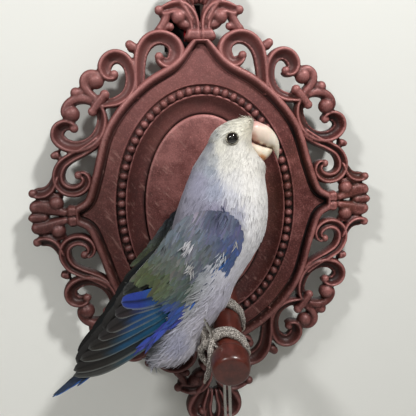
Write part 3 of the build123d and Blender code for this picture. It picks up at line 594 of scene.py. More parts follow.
# One quarter of the scrollwork, drawn on the plaque's own half size: profile, side of the outer edge,
# height, and
# points of (x, z, half width). Side 1 is the left hand of the travel.
QUARTER_STROKES = (
    (COVED_BAND, -1, 1.0, ((33.0, 59.5, 2.2), (32.9, 66.0, 2.9), (32.3, 76.0, 3.3), (30.8, 83.3, 3.6),
    (27.4, 88.2, 3.8),
                           (22.8, 90.4, 3.7), (18.0, 90.0, 3.7), (13.9, 87.2, 4.0), (12.6, 82.6, 4.4),
                           (14.6, 78.2, 4.2),
                           (18.2, 77.2, 3.3), (21.4, 79.2, 2.5), (22.4, 81.2, 1.7))),
    (COVED_BAND, 1, 0.98, ((55.2, 57.2, 1.9), (49.5, 57.8, 2.5), (44.5, 58.8, 2.9), (40.0, 61.6, 3.1),
    (37.4, 65.8, 3.3),
                           (36.6, 71.0, 3.3), (37.6, 76.4, 3.3), (40.4, 80.2, 3.5), (44.4, 81.4, 3.6),
                           (48.2, 79.6, 3.7),
                           (50.2, 75.8, 3.6), (49.2, 72.2, 3.0), (46.2, 71.2, 2.2), (44.4, 72.2, 1.6))),
    (ROUND_BAR, 1, 0.92, ((52.6, 69.4, 2.0), (54.4, 72.0, 2.5), (57.8, 72.4, 2.7), (60.4, 70.2, 2.7),
    (60.6, 66.6, 2.6),
                          (58.6, 63.2, 2.4), (55.8, 60.2, 2.3), (54.0, 57.6, 2.0))),
    (ROUND_BAR, 1, 0.92, ((56.2, 57.8, 1.9), (58.6, 59.4, 2.2), (62.4, 60.4, 2.5), (66.6, 59.8, 2.6),
    (69.8, 57.4, 2.7),
                          (71.4, 54.0, 2.5), (70.4, 50.8, 2.0))),
    (COVED_BAND, -1, 0.97, ((56.0, 58.0, 1.8), (53.6, 54.4, 2.4), (53.0, 49.6, 2.9), (54.4, 44.2, 3.2),
    (57.6, 39.6, 3.3),
                            (62.8, 36.6, 3.3), (68.6, 36.0, 3.4), (73.6, 37.9, 3.5), (76.4, 41.6, 3.5),
                            (75.4, 45.8, 3.4),
                            (71.8, 47.6, 3.0), (68.4, 46.6, 2.4), (67.0, 44.8, 1.7))),
    (REEDED_STEM, 1, 0.96, ((54.0, 41.0, 2.2), (57.6, 37.4, 2.8), (63.0, 34.0, 2.9), (69.6, 30.9, 2.9),
    (74.8, 27.4, 3.1),
                            (77.4, 22.4, 3.3), (77.0, 17.4, 3.4), (73.8, 14.0, 3.5), (69.2, 13.2, 3.5),
                            (65.2, 15.0, 3.3),
                            (63.4, 18.2, 3.0), (64.6, 21.2, 2.4), (67.6, 21.4, 1.7))),
    (ROUND_BAR, 1, 1.04, ((50.2, 62.8, 1.8), (52.6, 60.2, 2.5), (55.2, 57.0, 2.6), (58.1, 53.2, 1.9))),
    (ROUND_BAR, 1, 0.86, ((33.6, 84.4, 1.8), (35.4, 85.8, 2.7), (36.9, 86.9, 2.2))),
    (ROUND_BAR, 1, 0.80, ((75.6, 32.6, 2.2), (78.0, 32.2, 2.3), (80.6, 31.6, 1.3))),
    (ROUND_BAR, 1, 0.84, ((61.0, 62.4, 2.2), (63.8, 63.4, 2.9), (65.2, 63.4, 2.4))),
)
# (x, z, radius, height of the ball's middle as a share of the relief)
QUARTER_BALLS = (
    (22.0, 80.6, 2.3, 0.66), (45.4, 72.2, 2.3, 0.64), (54.9, 69.2, 4.2, 0.56), (65.2, 63.4, 3.0, 0.56),
    (50.8, 62.2, 2.5, 0.74), (57.6, 53.8, 2.4, 0.74), (68.3, 52.9, 4.3, 0.56), (67.6, 45.6, 2.3, 0.62),
    (67.2, 21.4, 2.2, 0.66), (36.6, 86.8, 2.4, 0.56),
)
# Upper half of the right side finial, joined with its mirror image.
FINIAL_STROKES = (
    (ROUND_BAR, 1, 1.04, ((71.4, -0.4, 3.2), (71.6, 3.0, 3.3), (71.3, 5.6, 2.2))),
    (ROUND_BAR, 1, 0.92, ((73.4, 1.4, 1.7), (77.4, 2.6, 2.5), (82.2, 4.2, 3.5), (86.6, 5.6, 4.0),
    (90.6, 5.6, 3.4), (92.4, 4.4, 2.2))),
    (ROUND_BAR, 1, 0.86, ((84.0, 0.0, 1.6), (89.0, 0.0, 2.7), (92.6, 0.0, 2.5), (94.6, 0.0, 1.1))),
    (COVED_BAND, -1, 0.95, ((78.8, 22.0, 1.8), (80.4, 17.8, 2.4), (82.6, 14.6, 2.8), (85.8, 12.9, 3.0),
    (89.4, 12.9, 2.8),
                            (91.2, 13.8, 2.0))),
    (ROUND_BAR, 1, 0.74, ((76.0, 10.6, 1.4), (80.4, 11.6, 1.6), (85.0, 10.4, 1.8), (89.0, 9.6, 1.6))),
)
FINIAL_BALLS = ((79.6, 7.3, 3.9, 0.58), (91.0, 13.0, 2.3, 0.64), (90.6, 5.4, 3.0, 0.56))
# Right half of the crest, joined with its mirror image. The pendant is the crest turned over.
CREST_STROKES = (
    (ROUND_BAR, 1, 1.08, ((-0.5, 90.9, 3.2), (4.0, 91.0, 3.3), (6.6, 91.4, 2.8), (7.6, 91.8, 1.9))),
    (REEDED_STEM, 1, 0.98, ((2.9, 88.5, 2.0), (2.9, 93.0, 2.7), (3.2, 97.2, 3.0), (4.8, 101.0, 3.4),
    (8.6, 104.2, 3.9),
                            (13.2, 104.6, 3.8), (17.6, 103.3, 3.2), (20.9, 103.0, 2.2))),
    (COVED_BAND, -1, 0.98, ((2.2, 97.0, 1.6), (4.0, 101.6, 3.0), (7.0, 107.2, 3.9), (10.4, 112.2, 4.4),
    (12.4, 117.0, 4.0),
                            (11.0, 121.2, 3.3), (7.8, 122.0, 2.5), (6.0, 120.2, 1.8))),
    (REEDED_STEM, -1, 0.92, ((2.0, 107.0, 1.8), (3.2, 112.0, 2.9), (4.4, 117.6, 3.2), (3.6, 123.2, 2.7),
    (1.4, 127.0, 2.0),
                             (0.3, 128.8, 1.0))),
    (ROUND_BAR, 1, 0.88, ((15.8, 103.6, 2.0), (17.4, 100.0, 2.2), (19.2, 96.4, 2.3), (22.4, 92.6, 2.2))),
    (ROUND_BAR, 1, 0.80, ((15.6, 95.6, 1.4), (18.0, 94.8, 1.9), (20.4, 93.6, 1.8))),
    (ROUND_BAR, 1, 0.78, ((4.8, 95.6, 1.8), (8.4, 96.8, 2.3), (10.4, 99.0, 2.6))),
)
CREST_BALLS = ((11.0, 100.2, 3.7, 0.56), (20.8, 103.4, 2.4, 0.66), (15.4, 95.4, 2.0, 0.56),
    (6.8, 119.8, 2.6, 0.60))


def plaque_point(x, z, depth):
    return np.array((x * STRETCH[0], -depth, z * STRETCH[1]))


def stroke_solid(profile, side, height, points, turned=(1, 1)):
    """One stroke of the casting: a profile carried along a curve."""
    line = smooth_line(points, max(12, int(len(points) * 6)))
    x, z, half = line[:, 0] * turned[0] * STRETCH[0], line[:, 1] * turned[1] * STRETCH[1], line[:, 2]
    along = np.gradient(np.column_stack([x, z]), axis=0)
    along /= np.linalg.norm(along, axis=1)[:, None]
    outward = np.column_stack([-along[:, 1], along[:, 0]]) * side * turned[0] * turned[1]
    across, rise = np.array(profile).T
    back = RELIEF_BACK + 0.6
    tall = (RELIEF_FRONT - back) * height
    end_soften = np.minimum(1.0, 0.72 + np.minimum(np.arange(len(x)), np.arange(len(x))[::-1]) / 12)
    rings = np.stack([
        x[:, None] + outward[:, :1] * across * half[:, None],
        -(back + tall * rise[None, :] * end_soften[:, None]),
        z[:, None] + outward[:, 1:] * across * half[:, None],
    ], axis=-1)
    return loft(rings)


def casting(name, strokes, balls, turns, spacing):
    """Fuses strokes and balls into one casting with softened edges."""
    parts = []
    for turned in turns:
        parts += [stroke_solid(*stroke, turned=turned) for stroke in strokes]
        for x, z, radius, share in balls:
            depth = RELIEF_BACK + (RELIEF_FRONT - RELIEF_BACK) * share
            parts.append(ball(plaque_point(x * turned[0], z * turned[1], depth),
                (radius, radius * 1.05, radius)))
    made = put_mesh(name, *gather(parts))
    points, faces = with_modifiers(
        made,
        ("REMESH", {"mode": "VOXEL", "voxel_size": spacing}),
        ("SMOOTH", {"factor": 0.5, "iterations": 3}),
    )
    height = np.clip((-points[:, 1] - RELIEF_BACK) / (RELIEF_FRONT - RELIEF_BACK), 0, 1)
    # Besides rubbed edges and dark hollows, the parts nearer the wall are darkened as painted shade.
    wear_and_shade = np.clip(bulge_wear_and_shade(points, faces, gain=1.1) - 0.62 * (1 - height) ** 1.1 + 0.14, 0, 1)
    return points, faces, wear_and_shade


def turned_copy(points, faces, x_sign, z_sign):
    """Mirror image of a casting, with its faces still outward."""
    points = points * np.array((x_sign, 1, z_sign))
    return points, faces if x_sign * z_sign > 0 else [face[::-1] for face in faces]


# ---------------------------------------------------------------- medallion
OGEE_RIDGE = ((3.0, 88.0), (13.0, 76.5), (28.0, 67.5), (41.0, 56.0), (51.0, 41.5), (57.5, 21.0), (62.5, 7.5),
    (69.0, 2.8))
GROOVE_OVAL = (48.9, 66.1)
BEAD_OVAL = (46.1, 63.3)
COVE_OVAL = (43.0, 60.0)
PANEL_OVAL = (33.5, 51.0)
# Moulding: offset outward from the ridge, depth from the wall relative to the field, and how rubbed and how
# lit the
# paint is: low values paint shade in the grooves, high values paint a highlight on the crest.
MOULDING = (
    (-4.2, -15.0, 0.2), (2.0, -15.0, 0.2), (2.4, -14.3, 0.2), (2.5, -0.6, 0.25), (2.45, 0.9, 0.42),
    (2.1, 2.1, 0.62), (1.4, 2.95, 0.82),
    (0.5, 3.3, 0.86), (-0.4, 3.2, 0.74), (-1.1, 2.65, 0.52), (-1.6, 1.8, 0.3), (-1.95, 0.8, 0.12),
    (-2.15, -0.5, 0.0),
    (-2.5, -0.9, 0.0), (-2.9, -0.7, 0.05), (-3.2, -0.1, 0.42), (-3.6, 0.1, 0.7), (-4.2, 0.1, 0.6),
)
# Oval steps inside the field: growth from the named oval, depth relative to the field, and how rubbed and how
# lit the
# paint is: low values paint shade in the channels, high values paint a highlight on the edges.
OVAL_STEPS = (
    (GROOVE_OVAL, 1.3, 0.10, 0.6), (GROOVE_OVAL, 0.5, 0.14, 0.76), (GROOVE_OVAL, 0.15, 0.0, 0.5),
    (GROOVE_OVAL, -0.15, -0.8, 0.02),
    (BEAD_OVAL, 1.9, -0.95, 0.02), (BEAD_OVAL, -1.9, -0.95, 0.04), (BEAD_OVAL, -2.1, -0.1, 0.4),
    (COVE_OVAL, 0.8, 0.30, 0.8),
    (COVE_OVAL, 0.3, 0.25, 0.7), (COVE_OVAL, -0.15, -0.2, 0.5), (COVE_OVAL, -1.2, -1.3, 0.44),
    (COVE_OVAL, -2.6, -2.3, 0.42),
    (COVE_OVAL, -4.2, -3.1, 0.44), (COVE_OVAL, -6.0, -3.6, 0.48), (COVE_OVAL, -7.6, -3.8, 0.5),
    (PANEL_OVAL, 0.9, -3.9, 0.3),
    (PANEL_OVAL, 0.25, -4.2, 0.0), (PANEL_OVAL, -0.1, -4.9, 0.0), (PANEL_OVAL, -3.0, -4.95, 0.0),
)


def medallion_quarter(columns=88):
    """Grid of the medallion's quarter, from its back edge over the moulding and field to the panel's
    seat, and its values of rubbed paint and painted shade."""
    line = smooth_line(OGEE_RIDGE, columns)
    x, z = line[:, 0] * STRETCH[0], line[:, 1] * STRETCH[1]
    along = np.gradient(np.column_stack([x, z]), axis=0)
    along /= np.linalg.norm(along, axis=1)[:, None]
    outward = np.column_stack([-along[:, 1], along[:, 0]])
    angle = np.arctan2(z / GROOVE_OVAL[1], x / GROOVE_OVAL[0])
    slim = 0.62 + 0.38 * np.clip(np.arange(columns) / 14, 0, 1)
    rows = [(np.maximum(x + outward[:, 0] * grow * slim, 0.0), rise,
        np.maximum(z + outward[:, 1] * grow * slim, 0.0), rub_and_shade)
            for grow, rise, rub_and_shade in MOULDING]
    inner_x, inner_z = rows[-1][0], rows[-1][2]

    def oval(half_axes, grow):
        return (half_axes[0] * STRETCH[0] + grow) * np.cos(angle), (half_axes[1] * STRETCH[1]
            + grow) * np.sin(angle)

    oval_x, oval_z = oval(OVAL_STEPS[0][0], OVAL_STEPS[0][1])
    for share in (0.25, 0.5, 0.75):
        rows.append((inner_x + (oval_x - inner_x) * share, 0.1, inner_z + (oval_z - inner_z) * share, 0.6))
    for half_axes, grow, rise, rub_and_shade in OVAL_STEPS:
        oval_x, oval_z = oval(half_axes, grow)
        rows.append((oval_x, rise, oval_z, rub_and_shade))
    grid = np.array([np.column_stack([row_x, np.full(columns, -(FIELD + rise)), row_z]) for row_x, rise,
        row_z, _ in rows])
    return grid, np.array([rub_and_shade for *_, rub_and_shade in rows])


def whole_medallion():
    quarter, rub_and_shade = medallion_quarter()
    top = quarter[:, :1] * (0, 1, 1)
    side = quarter[:, -1:] * (1, 1, 0)
    right, down, both = (-1, 1, 1), (1, 1, -1), (-1, 1, -1)
    grid = np.concatenate([top, quarter, side, (quarter * down)[:, ::-1], top * down, quarter * both,
        side * right,
                           (quarter * right)[:, ::-1]], axis=1)
    rows, columns = grid.shape[:2]
    return grid.reshape(-1, 3), grid_faces(rows, columns, closed=True).tolist(), np.repeat(rub_and_shade, columns)


class PLAQUE_OT_medallion(bpy.types.Operator):
    """Builds the medallion: its moulding, grained field, bead channel and cove"""

    bl_idname = "plaque.medallion"
    bl_label = "Cast the medallion"

    def execute(self, context):
        settings = context.scene.plaque_settings
        points, faces, wear_and_shade = whole_medallion()
        made = put_mesh("medallion_casting", points, faces, wear_and_shade=wear_and_shade)
        finish_piece(made, cast_paint("Medallion paint", settings, scratches=0.5), "plaque", "medallion")
        return {"FINISHED"}


class PLAQUE_OT_panel(bpy.types.Operator):
    """Builds the domed oval panel with its grained face"""

    bl_idname = "plaque.panel"
    bl_label = "Cast the oval panel"

    def execute(self, context):
        settings = context.scene.plaque_settings
        low, high = box_mm("oval_panel")
        half_x, half_z, seat, crown = high[0], high[2], -high[1], -low[1]
        turn = np.linspace(0, 2 * math.pi, 240, endpoint=False)
        steps = [(0.0, seat), (0.0, seat + 1.4), (0.15, seat + 2.0), (0.6, seat + 2.35), (1.4, seat + 2.6)]
        steps += [(1.4 + (half_x - 1.6) * s,
            seat + 2.6 + (crown - seat - 2.6) * math.sin(s * math.pi / 2) ** 0.8)
                  for s in np.linspace(0.06, 1, 16)]
        rings = []
        for inset, depth in steps:
            share = 1 - inset / half_x
            lift = half_z - half_x
            rings.append(np.column_stack([
                half_x * share * np.cos(turn), np.full_like(turn, -depth),
                (half_x * share + lift * share) * np.sin(turn)]))
        points, faces = loft(rings)
        wear_and_shade = np.full(len(points), 0.70)
        # The two rings of the seat are darkened as painted shade, and the two rings of the rounded rim paled
        # as painted highlight.
        wear_and_shade[: 240 * 2] = 0.05
        wear_and_shade[240 * 2 : 240 * 4] = 0.85
        made = put_mesh("oval_panel_face", points, faces, wear_and_shade=wear_and_shade)
        finish_piece(made, cast_paint("Panel paint", settings, scratches=0.7, warmth=0.1), "plaque",
            "oval_panel")
        return {"FINISHED"}


class PLAQUE_OT_beads(bpy.types.Operator):
    """Builds the beading strip round the cove"""

    bl_idname = "plaque.beads"
    bl_label = "Cast the beading"

    def execute(self, context):
        settings = context.scene.plaque_settings
        radius = settings.bead_radius / MM
        rng = np.random.default_rng(11)
        half_x, half_z = BEAD_OVAL[0] * STRETCH[0], BEAD_OVAL[1] * STRETCH[1]
        turn = np.linspace(0, 2 * math.pi, 2001)
        oval = np.column_stack([half_x * np.cos(turn), half_z * np.sin(turn)])
        run = np.concatenate([[0.0], np.cumsum(np.linalg.norm(np.diff(oval, axis=0), axis=1))])
        at = np.linspace(0, run[-1], settings.bead_count, endpoint=False)
        where = np.column_stack([np.interp(at, run, oval[:, k]) for k in (0, 1)])
        parts = []
        for x, z in where:
            size = radius * rng.uniform(0.94, 1.03)
            angle = math.atan2(z / half_z**2, x / half_x**2)
            points, faces = ball((0, 0, 0),
                (size * rng.uniform(1.0, 1.1), size * 0.95, size * rng.uniform(0.9, 1.0)), 11, 18)
            spin = np.array(((math.cos(angle), 0, -math.sin(angle)), (0, 1, 0),
                (math.sin(angle), 0, math.cos(angle))))
            parts.append((points @ spin.T + (x, -(FIELD - 0.15 + rng.uniform(-0.1, 0.1)), z), faces))
        beads = sum(len(points) for points, _ in parts)
        rings = []
        for grow, rise in ((-1.55, -0.9), (-1.5, -0.45), (-0.6, -0.1), (0.6, -0.1), (1.5, -0.45),
                (1.55, -0.9)):
            rings.append(np.column_stack([
                (half_x + grow) * np.cos(turn[:-1:8]), np.full(250, -(FIELD + rise)),
                (half_z + grow) * np.sin(turn[:-1:8])]))
        rings = np.array(rings)
        parts.append((rings.reshape(-1, 3), grid_faces(6, 250, closed=True)))
        points, faces = gather(parts)
        # The channel is darkened as painted shade, and each bead pales towards its front as painted highlight
        # and darkens at its sides as painted shade.
        wear_and_shade = np.full(len(points), 0.04)
        height = -points[:beads, 1] - (FIELD - 0.15)
        wear_and_shade[:beads] = np.clip(0.12 + 0.72 * height / radius, 0, 1)
        made = put_mesh("bead_strip", points, faces, wear_and_shade=wear_and_shade)
        finish_piece(made, cast_paint("Bead paint", settings, scratches=0.0), "plaque", "bead_ring")
        return {"FINISHED"}


class PLAQUE_OT_scrolls(bpy.types.Operator):
    """Builds the four quarters of scrollwork"""

    bl_idname = "plaque.scrolls"
    bl_label = "Cast the scrollwork"

    def execute(self, context):
        settings = context.scene.plaque_settings
        points, faces, wear_and_shade = casting("scroll", QUARTER_STROKES, QUARTER_BALLS, ((1, 1),),
            settings.casting_detail)
        material = cast_paint("Scroll paint", settings, scratches=0.12)
        for level, z_sign in (("upper", 1), ("lower", -1)):
            for side, x_sign in (("right", 1), ("left", -1)):
                made = put_mesh(f"scroll_{level}_{side}_casting",
                    *turned_copy(points, faces, x_sign, z_sign), wear_and_shade=wear_and_shade)
                finish_piece(made, material, "plaque", f"scroll_{level}_{side}")
        return {"FINISHED"}


class PLAQUE_OT_ends(bpy.types.Operator):
    """Builds the crest, the pendant and the two side finials"""

    bl_idname = "plaque.ends"
    bl_label = "Cast the crest and finials"

    def execute(self, context):
        settings = context.scene.plaque_settings
        material = cast_paint("Finial paint", settings, scratches=0.12)
        points, faces, wear_and_shade = casting("crest", CREST_STROKES, CREST_BALLS, ((1, 1), (-1, 1)),
            settings.casting_detail)
        for node, z_sign in (("crest", 1), ("pendant", -1)):
            made = put_mesh(f"{node}_casting", *turned_copy(points, faces, 1, z_sign), wear_and_shade=wear_and_shade)
            finish_piece(made, material, "plaque", node)
        points, faces, wear_and_shade = casting("finial", FINIAL_STROKES, FINIAL_BALLS, ((1, 1), (1, -1)),
            settings.casting_detail)
        for side, x_sign in (("right", 1), ("left", -1)):
            made = put_mesh(f"side_finial_{side}_casting", *turned_copy(points, faces, x_sign, 1), wear_and_shade=wear_and_shade)
            finish_piece(made, material, "plaque", f"side_finial_{side}")
        return {"FINISHED"}


class PLAQUE_OT_back(bpy.types.Operator):
    """Finishes the backing board, its hardware, the hanger and the foam pad"""

    bl_idname = "plaque.back"
    bl_label = "Finish the back"

    def execute(self, context):
        coat_node("backing_board", fibre(
            "Hardboard", paint(150, 116, 82), paint(104, 74, 48), scale=500.0, stretch=(1, 1, 0.35)))
        zinc = bare_metal("Zinc plate", paint(176, 174, 168), 0.34, rust=0.25)
        for node in ("backing_screws", "strap_screw", "hanger_strap", "peg_screw", "peg_washer"):
            coat_node(node, zinc)
        coat_node("hanger_ring", bare_metal("Ring wire", paint(190, 186, 178), 0.26, drawn=(0.3, 1, 1),
            rust=0.12))
        coat_node("foam_pad", fibre("Black foam", paint(34, 32, 34), paint(9, 9, 10), scale=900.0,
            depth=0.0006, strength=0.9))
        coat_node("pad_liner", fibre("Red liner", paint(196, 20, 34), paint(120, 8, 18), scale=700.0,
            roughness=0.5, depth=0.0001))
        return {"FINISHED"}


# ---------------------------------------------------------------- peg
PEG_ROOT = (8.2, -43.0)
PEG_RUN = np.array((-0.125, -1.0, -0.30))
PEG_START = -box_mm("oval_panel")[1][1]
# Reach from the panel's seat and radius: as a share of the dowel for the first ones, then of the knob.
DOWEL_PROFILE = ((1.6, 1.0), (20.0, 1.0), (40.0, 1.0), (56.0, 1.0), (58.6, 0.97), (59.4, 0.93))
KNOB_PROFILE = ((59.9, 0.86), (60.3, 0.955), (61.2, 1.0), (64.6, 1.01), (66.8, 1.0), (68.0, 0.975),
    (68.9, 0.935), (69.4, 0.89),
                (69.6, 0.85), (69.66, 0.82), (69.7, 0.6), (69.72, 0.3), (69.72, 0.02))


def peg_point(reach):
    return np.array((PEG_ROOT[0], -PEG_START, PEG_ROOT[1])) + PEG_RUN * np.asarray(reach, float)[..., None]


def peg_frame():
    """Sideways and upward directions square to the peg."""
    axis = PEG_RUN / np.linalg.norm(PEG_RUN)
    side = np.cross((0.0, 0.0, 1.0), axis)
    side = -side / np.linalg.norm(side)
    return side, np.cross(axis, side) * -1.0


class PLAQUE_OT_peg(bpy.types.Operator):
    """Turns the perch peg and its knob"""

    bl_idname = "plaque.peg"
    bl_label = "Turn the peg"

    def execute(self, context):
        settings = context.scene.peg_settings
        dowel, knob = settings.dowel_radius / MM, settings.knob_radius / MM
        profile = [(reach, share * dowel) for reach, share in DOWEL_PROFILE]
        profile += [(reach, share * knob) for reach, share in KNOB_PROFILE]
        side, up = peg_frame()
        turn = np.linspace(0, 2 * math.pi, 96, endpoint=False)
        rings = []
        for reach, radius in profile:
            rings.append(peg_point(reach) + radius * (np.cos(turn)[:, None] * side + np.sin(turn)[:,
                None] * up))
        made = put_mesh("turned_peg", *loft(rings))
        finish_piece(made, stained_wood("Stained peg", settings.peg_colour), "peg", "perch_peg")
        return {"FINISHED"}


# ---------------------------------------------------------------- bird: shape and colour
# Body rows from the crown to the vent, on the drawing plane: back (x, z), front (x, z), half depth.
BODY_ROWS = (
    ((8.2, 46.9), (12.6, 47.1), 2.2),
    ((4.2, 45.5), (15.0, 45.7), 6.2),
    ((0.2, 43.3), (15.6, 43.9), 8.2),
    ((-2.4, 40.6), (14.8, 41.0), 9.4),
    ((-4.2, 37.4), (14.4, 38.0), 10.0),
    ((-6.4, 34.0), (15.0, 34.6), 10.4),
    ((-8.8, 30.6), (17.4, 30.8), 11.0),
    ((-11.4, 26.6), (19.7, 26.8), 12.2),
    ((-14.0, 21.0), (19.9, 20.4), 14.2),
    ((-17.0, 14.0), (20.6, 12.4), 16.2),
    ((-20.0, 6.2), (20.5, 4.4), 17.8),
    ((-22.6, -1.8), (18.9, -3.8), 18.6),
    ((-25.0, -9.6), (15.0, -11.4), 18.8),
    ((-27.4, -17.4), (10.2, -18.6), 18.2),
    ((-29.8, -25.4), (5.2, -26.0), 17.0),
    ((-32.2, -33.8), (1.6, -33.6), 15.2),
    ((-34.2, -42.0), (-3.8, -41.4), 13.0),
    ((-35.6, -50.0), (-10.2, -49.2), 10.8),
    ((-36.0, -56.6), (-13.8, -56.0), 8.6),
    ((-35.4, -61.4), (-17.6, -60.6), 6.2),
    ((-33.6, -64.6), (-22.8, -64.0), 3.0),
)
# Colour of the body's plumage at places on the drawing plane: x, z, reach, red, green, blue.
BODY_COLOURS = (
    (10, 46, 4, 242, 240, 226), (14, 42, 4, 242, 237, 220), (3, 44, 2.5, 228, 228, 218),
    (-1, 42, 1.6, 198, 202, 203),
    (-4.6, 37, 2.2, 150, 154, 164), (-8, 31, 2.2, 146, 150, 162), (0.5, 37, 3, 230, 229, 218),
    (8, 34, 5, 241, 239, 232),
    (14, 36, 3, 238, 233, 218), (3, 30, 4, 230, 229, 222), (-3.4, 31, 2, 178, 182, 186),
    (-5, 26.5, 2, 158, 166, 180),
    (15, 26, 5, 244, 242, 236), (4, 24, 3, 226, 226, 226), (14, 18, 6, 244, 243, 240),
    (19, 8, 5, 240, 239, 239),
    (11, 11, 4, 236, 236, 238), (16, -4, 5, 232, 232, 236), (3, 17, 3, 204, 206, 216),
    (-3.5, 19, 3, 160, 166, 186),
    (-11, 22, 4, 158, 158, 180), (-12, 13, 4, 148, 147, 166), (-4, 10.5, 3, 140, 137, 160),
    (5.6, 9, 2.5, 172, 174, 192),
    (-17, 4, 4, 138, 137, 154), (-22, -5, 4, 106, 118, 136), (12, -10, 3, 226, 226, 234),
    (10, -18, 4, 218, 218, 230),
    (6, -25, 3.5, 208, 207, 224), (1, -35, 3.5, 206, 204, 222), (-6, -44, 4, 214, 212, 226),
    (-12, -50, 4, 222, 220, 230),
    (-16, -57, 4, 216, 214, 226), (-25, -60, 4, 206, 204, 218), (-20, -50, 4, 170, 172, 196),
    (-33, -60, 3.5, 176, 178, 190),
    (-30, -20, 5, 96, 106, 92), (-38, -30, 5, 80, 88, 90), (-36, -48, 5, 110, 116, 122),
)
# Colour of the wing coverts, likewise.
WING_COLOURS = (
    (-10, 8, 3, 146, 145, 164), (-3, 5, 2.4, 92, 98, 126), (4, 2.5, 2.2, 116, 122, 150),
    (8, -2, 2, 104, 112, 152),
    (-17, 0, 3, 118, 128, 142), (-11, -3, 3, 132, 140, 156), (-4, -3, 3, 116, 124, 150),
    (3, -5, 2.5, 92, 104, 148),
    (8, -9, 1.8, 78, 100, 164), (-21, -8, 3, 104, 114, 118), (-14, -10, 2.4, 140, 147, 158),
    (-7, -11, 3, 108, 118, 122),
    (0, -12, 2.5, 116, 124, 152), (5, -16, 2, 70, 98, 156), (-26, -15, 3, 98, 106, 96),
    (-19, -17, 2.5, 112, 120, 112),
    (-12, -19, 2.5, 118, 126, 140), (-5, -21, 2.5, 88, 104, 122), (0, -24, 1.8, 44, 86, 146),
    (-31, -22, 3.4, 86, 98, 62),
    (-25, -24, 2.4, 98, 110, 82), (-18, -25, 2.5, 96, 110, 104), (-10, -28, 2.5, 76, 92, 80),
    (-4, -30, 1.6, 40, 82, 140),
    (-33, -27, 2, 78, 92, 64), (-15, -31, 2.5, 74, 92, 90), (-9, -34, 1.8, 44, 84, 140),
    (-15, -37, 2, 56, 78, 156),
    (-19, -40, 1.8, 58, 66, 168), (-22, -36, 1.6, 52, 84, 158), (-24, -43, 1.6, 36, 84, 150),
    (-38, -24, 2.4, 82, 88, 76),
    (-43, -27, 2.2, 84, 86, 72),
)
# Lie of the feathers at places on the drawing plane: x, z, reach, then the direction.
FEATHER_LIE = (
    (16, 45, 3, -0.9, 0.25), (10, 46, 4, -1.0, -0.15), (3, 44, 4, -0.75, -0.65), (14, 40, 3, -0.8, -0.45),
    (8, 34, 5, -0.45, -0.9),
    (-4, 36, 4, -0.30, -0.95), (18, 28, 4, -0.15, -1.0), (17, 12, 7, -0.10, -1.0), (5, 18, 6, -0.25, -0.97),
    (-9, 20, 6, -0.42, -0.9),
    (14, -8, 6, -0.35, -0.94), (-20, 0, 7, -0.58, -0.81), (-3, -8, 6, -0.58, -0.81),
    (8, -26, 6, -0.45, -0.9), (-34, -22, 7, -0.72, -0.69),
    (-12, -30, 7, -0.72, -0.69), (-4, -42, 6, -0.48, -0.88), (-14, -54, 6, -0.5, -0.87),
    (-30, -60, 6, -0.75, -0.66),
)


def blended(table, x, z):
    """Values of a table of places, blended at many points by nearness."""
    table = np.asarray(table, float)
    x, z = np.asarray(x, float), np.asarray(z, float)
    gap = (x[..., None] - table[:, 0]) ** 2 + (z[..., None] - table[:, 1]) ** 2
    weight = 1.0 / (gap / table[:, 2] ** 2 + 0.35) ** 2.2
    return (weight @ table[:, 3:]) / weight.sum(-1)[..., None]


def linear_colours(display):
    values = np.clip(np.asarray(display, float) / 255, 0, 1)
    linear = np.where(values < 0.04045, values / 12.92, ((values + 0.055) / 1.055) ** 2.4)
    return np.concatenate([linear, np.ones(linear.shape[:-1] + (1,))], axis=-1)


def row_table(rows, count):
    flat = np.array([(*back, *front, half) for back, front, half in rows], float)
    middle = (flat[:, :2] + flat[:, 2:4]) / 2
    return smooth_line(np.column_stack([middle, flat]), count, space=2)[:, 2:]


BODY_TABLE = row_table(BODY_ROWS, 121)
FULLNESS = 2.25     # of the body's oval sections, where 2 is a plain oval


def body_surface(down, around):
    """Points on the skin. down is 0 at the crown and 1 at the vent, around is 0 in front and pi at the
    back."""
    down, around = np.broadcast_arrays(np.asarray(down, float), np.asarray(around, float))
    at = np.clip(down, 0, 1) * (len(BODY_TABLE) - 1)
    row = np.stack([np.interp(at, np.arange(len(BODY_TABLE)), column) for column in BODY_TABLE.T], axis=-1)
    back, front, half = row[..., :2], row[..., 2:4], row[..., 4]
    c, s = np.cos(around), np.sin(around)
    across = np.sign(c) * np.abs(c) ** (2 / FULLNESS)
    out = np.sign(s) * np.abs(s) ** (2 / FULLNESS)
    place = (front + back) / 2 + (front - back) / 2 * across[..., None]
    true = at_depth(place[..., 0], place[..., 1], BIRD_MIDDLE)
    true[..., 1] -= half * out
    return true, place


def surface_frame(down, around):
    """Skin point, its outward normal and its place on the drawing plane."""
    step = 0.004
    point, place = body_surface(down, around)
    below, _ = body_surface(np.minimum(down + step, 1.0), around)
    above, _ = body_surface(np.maximum(down - step, 0.0), around)
    onward, _ = body_surface(down, around + 0.03)
    behind, _ = body_surface(down, around - 0.03)
    normal = np.cross(below - above, onward - behind)
    normal /= np.maximum(np.linalg.norm(normal, axis=-1), 1e-9)[..., None]
    core, _ = body_surface(down, np.full_like(np.asarray(around, float), 0.0))
    rear, _ = body_surface(down, np.full_like(np.asarray(around, float), math.pi))
    facing = np.einsum("...i,...i->...", normal, point - (core + rear) / 2)
    return point, normal * np.where(facing < 0, -1.0, 1.0)[..., None], place


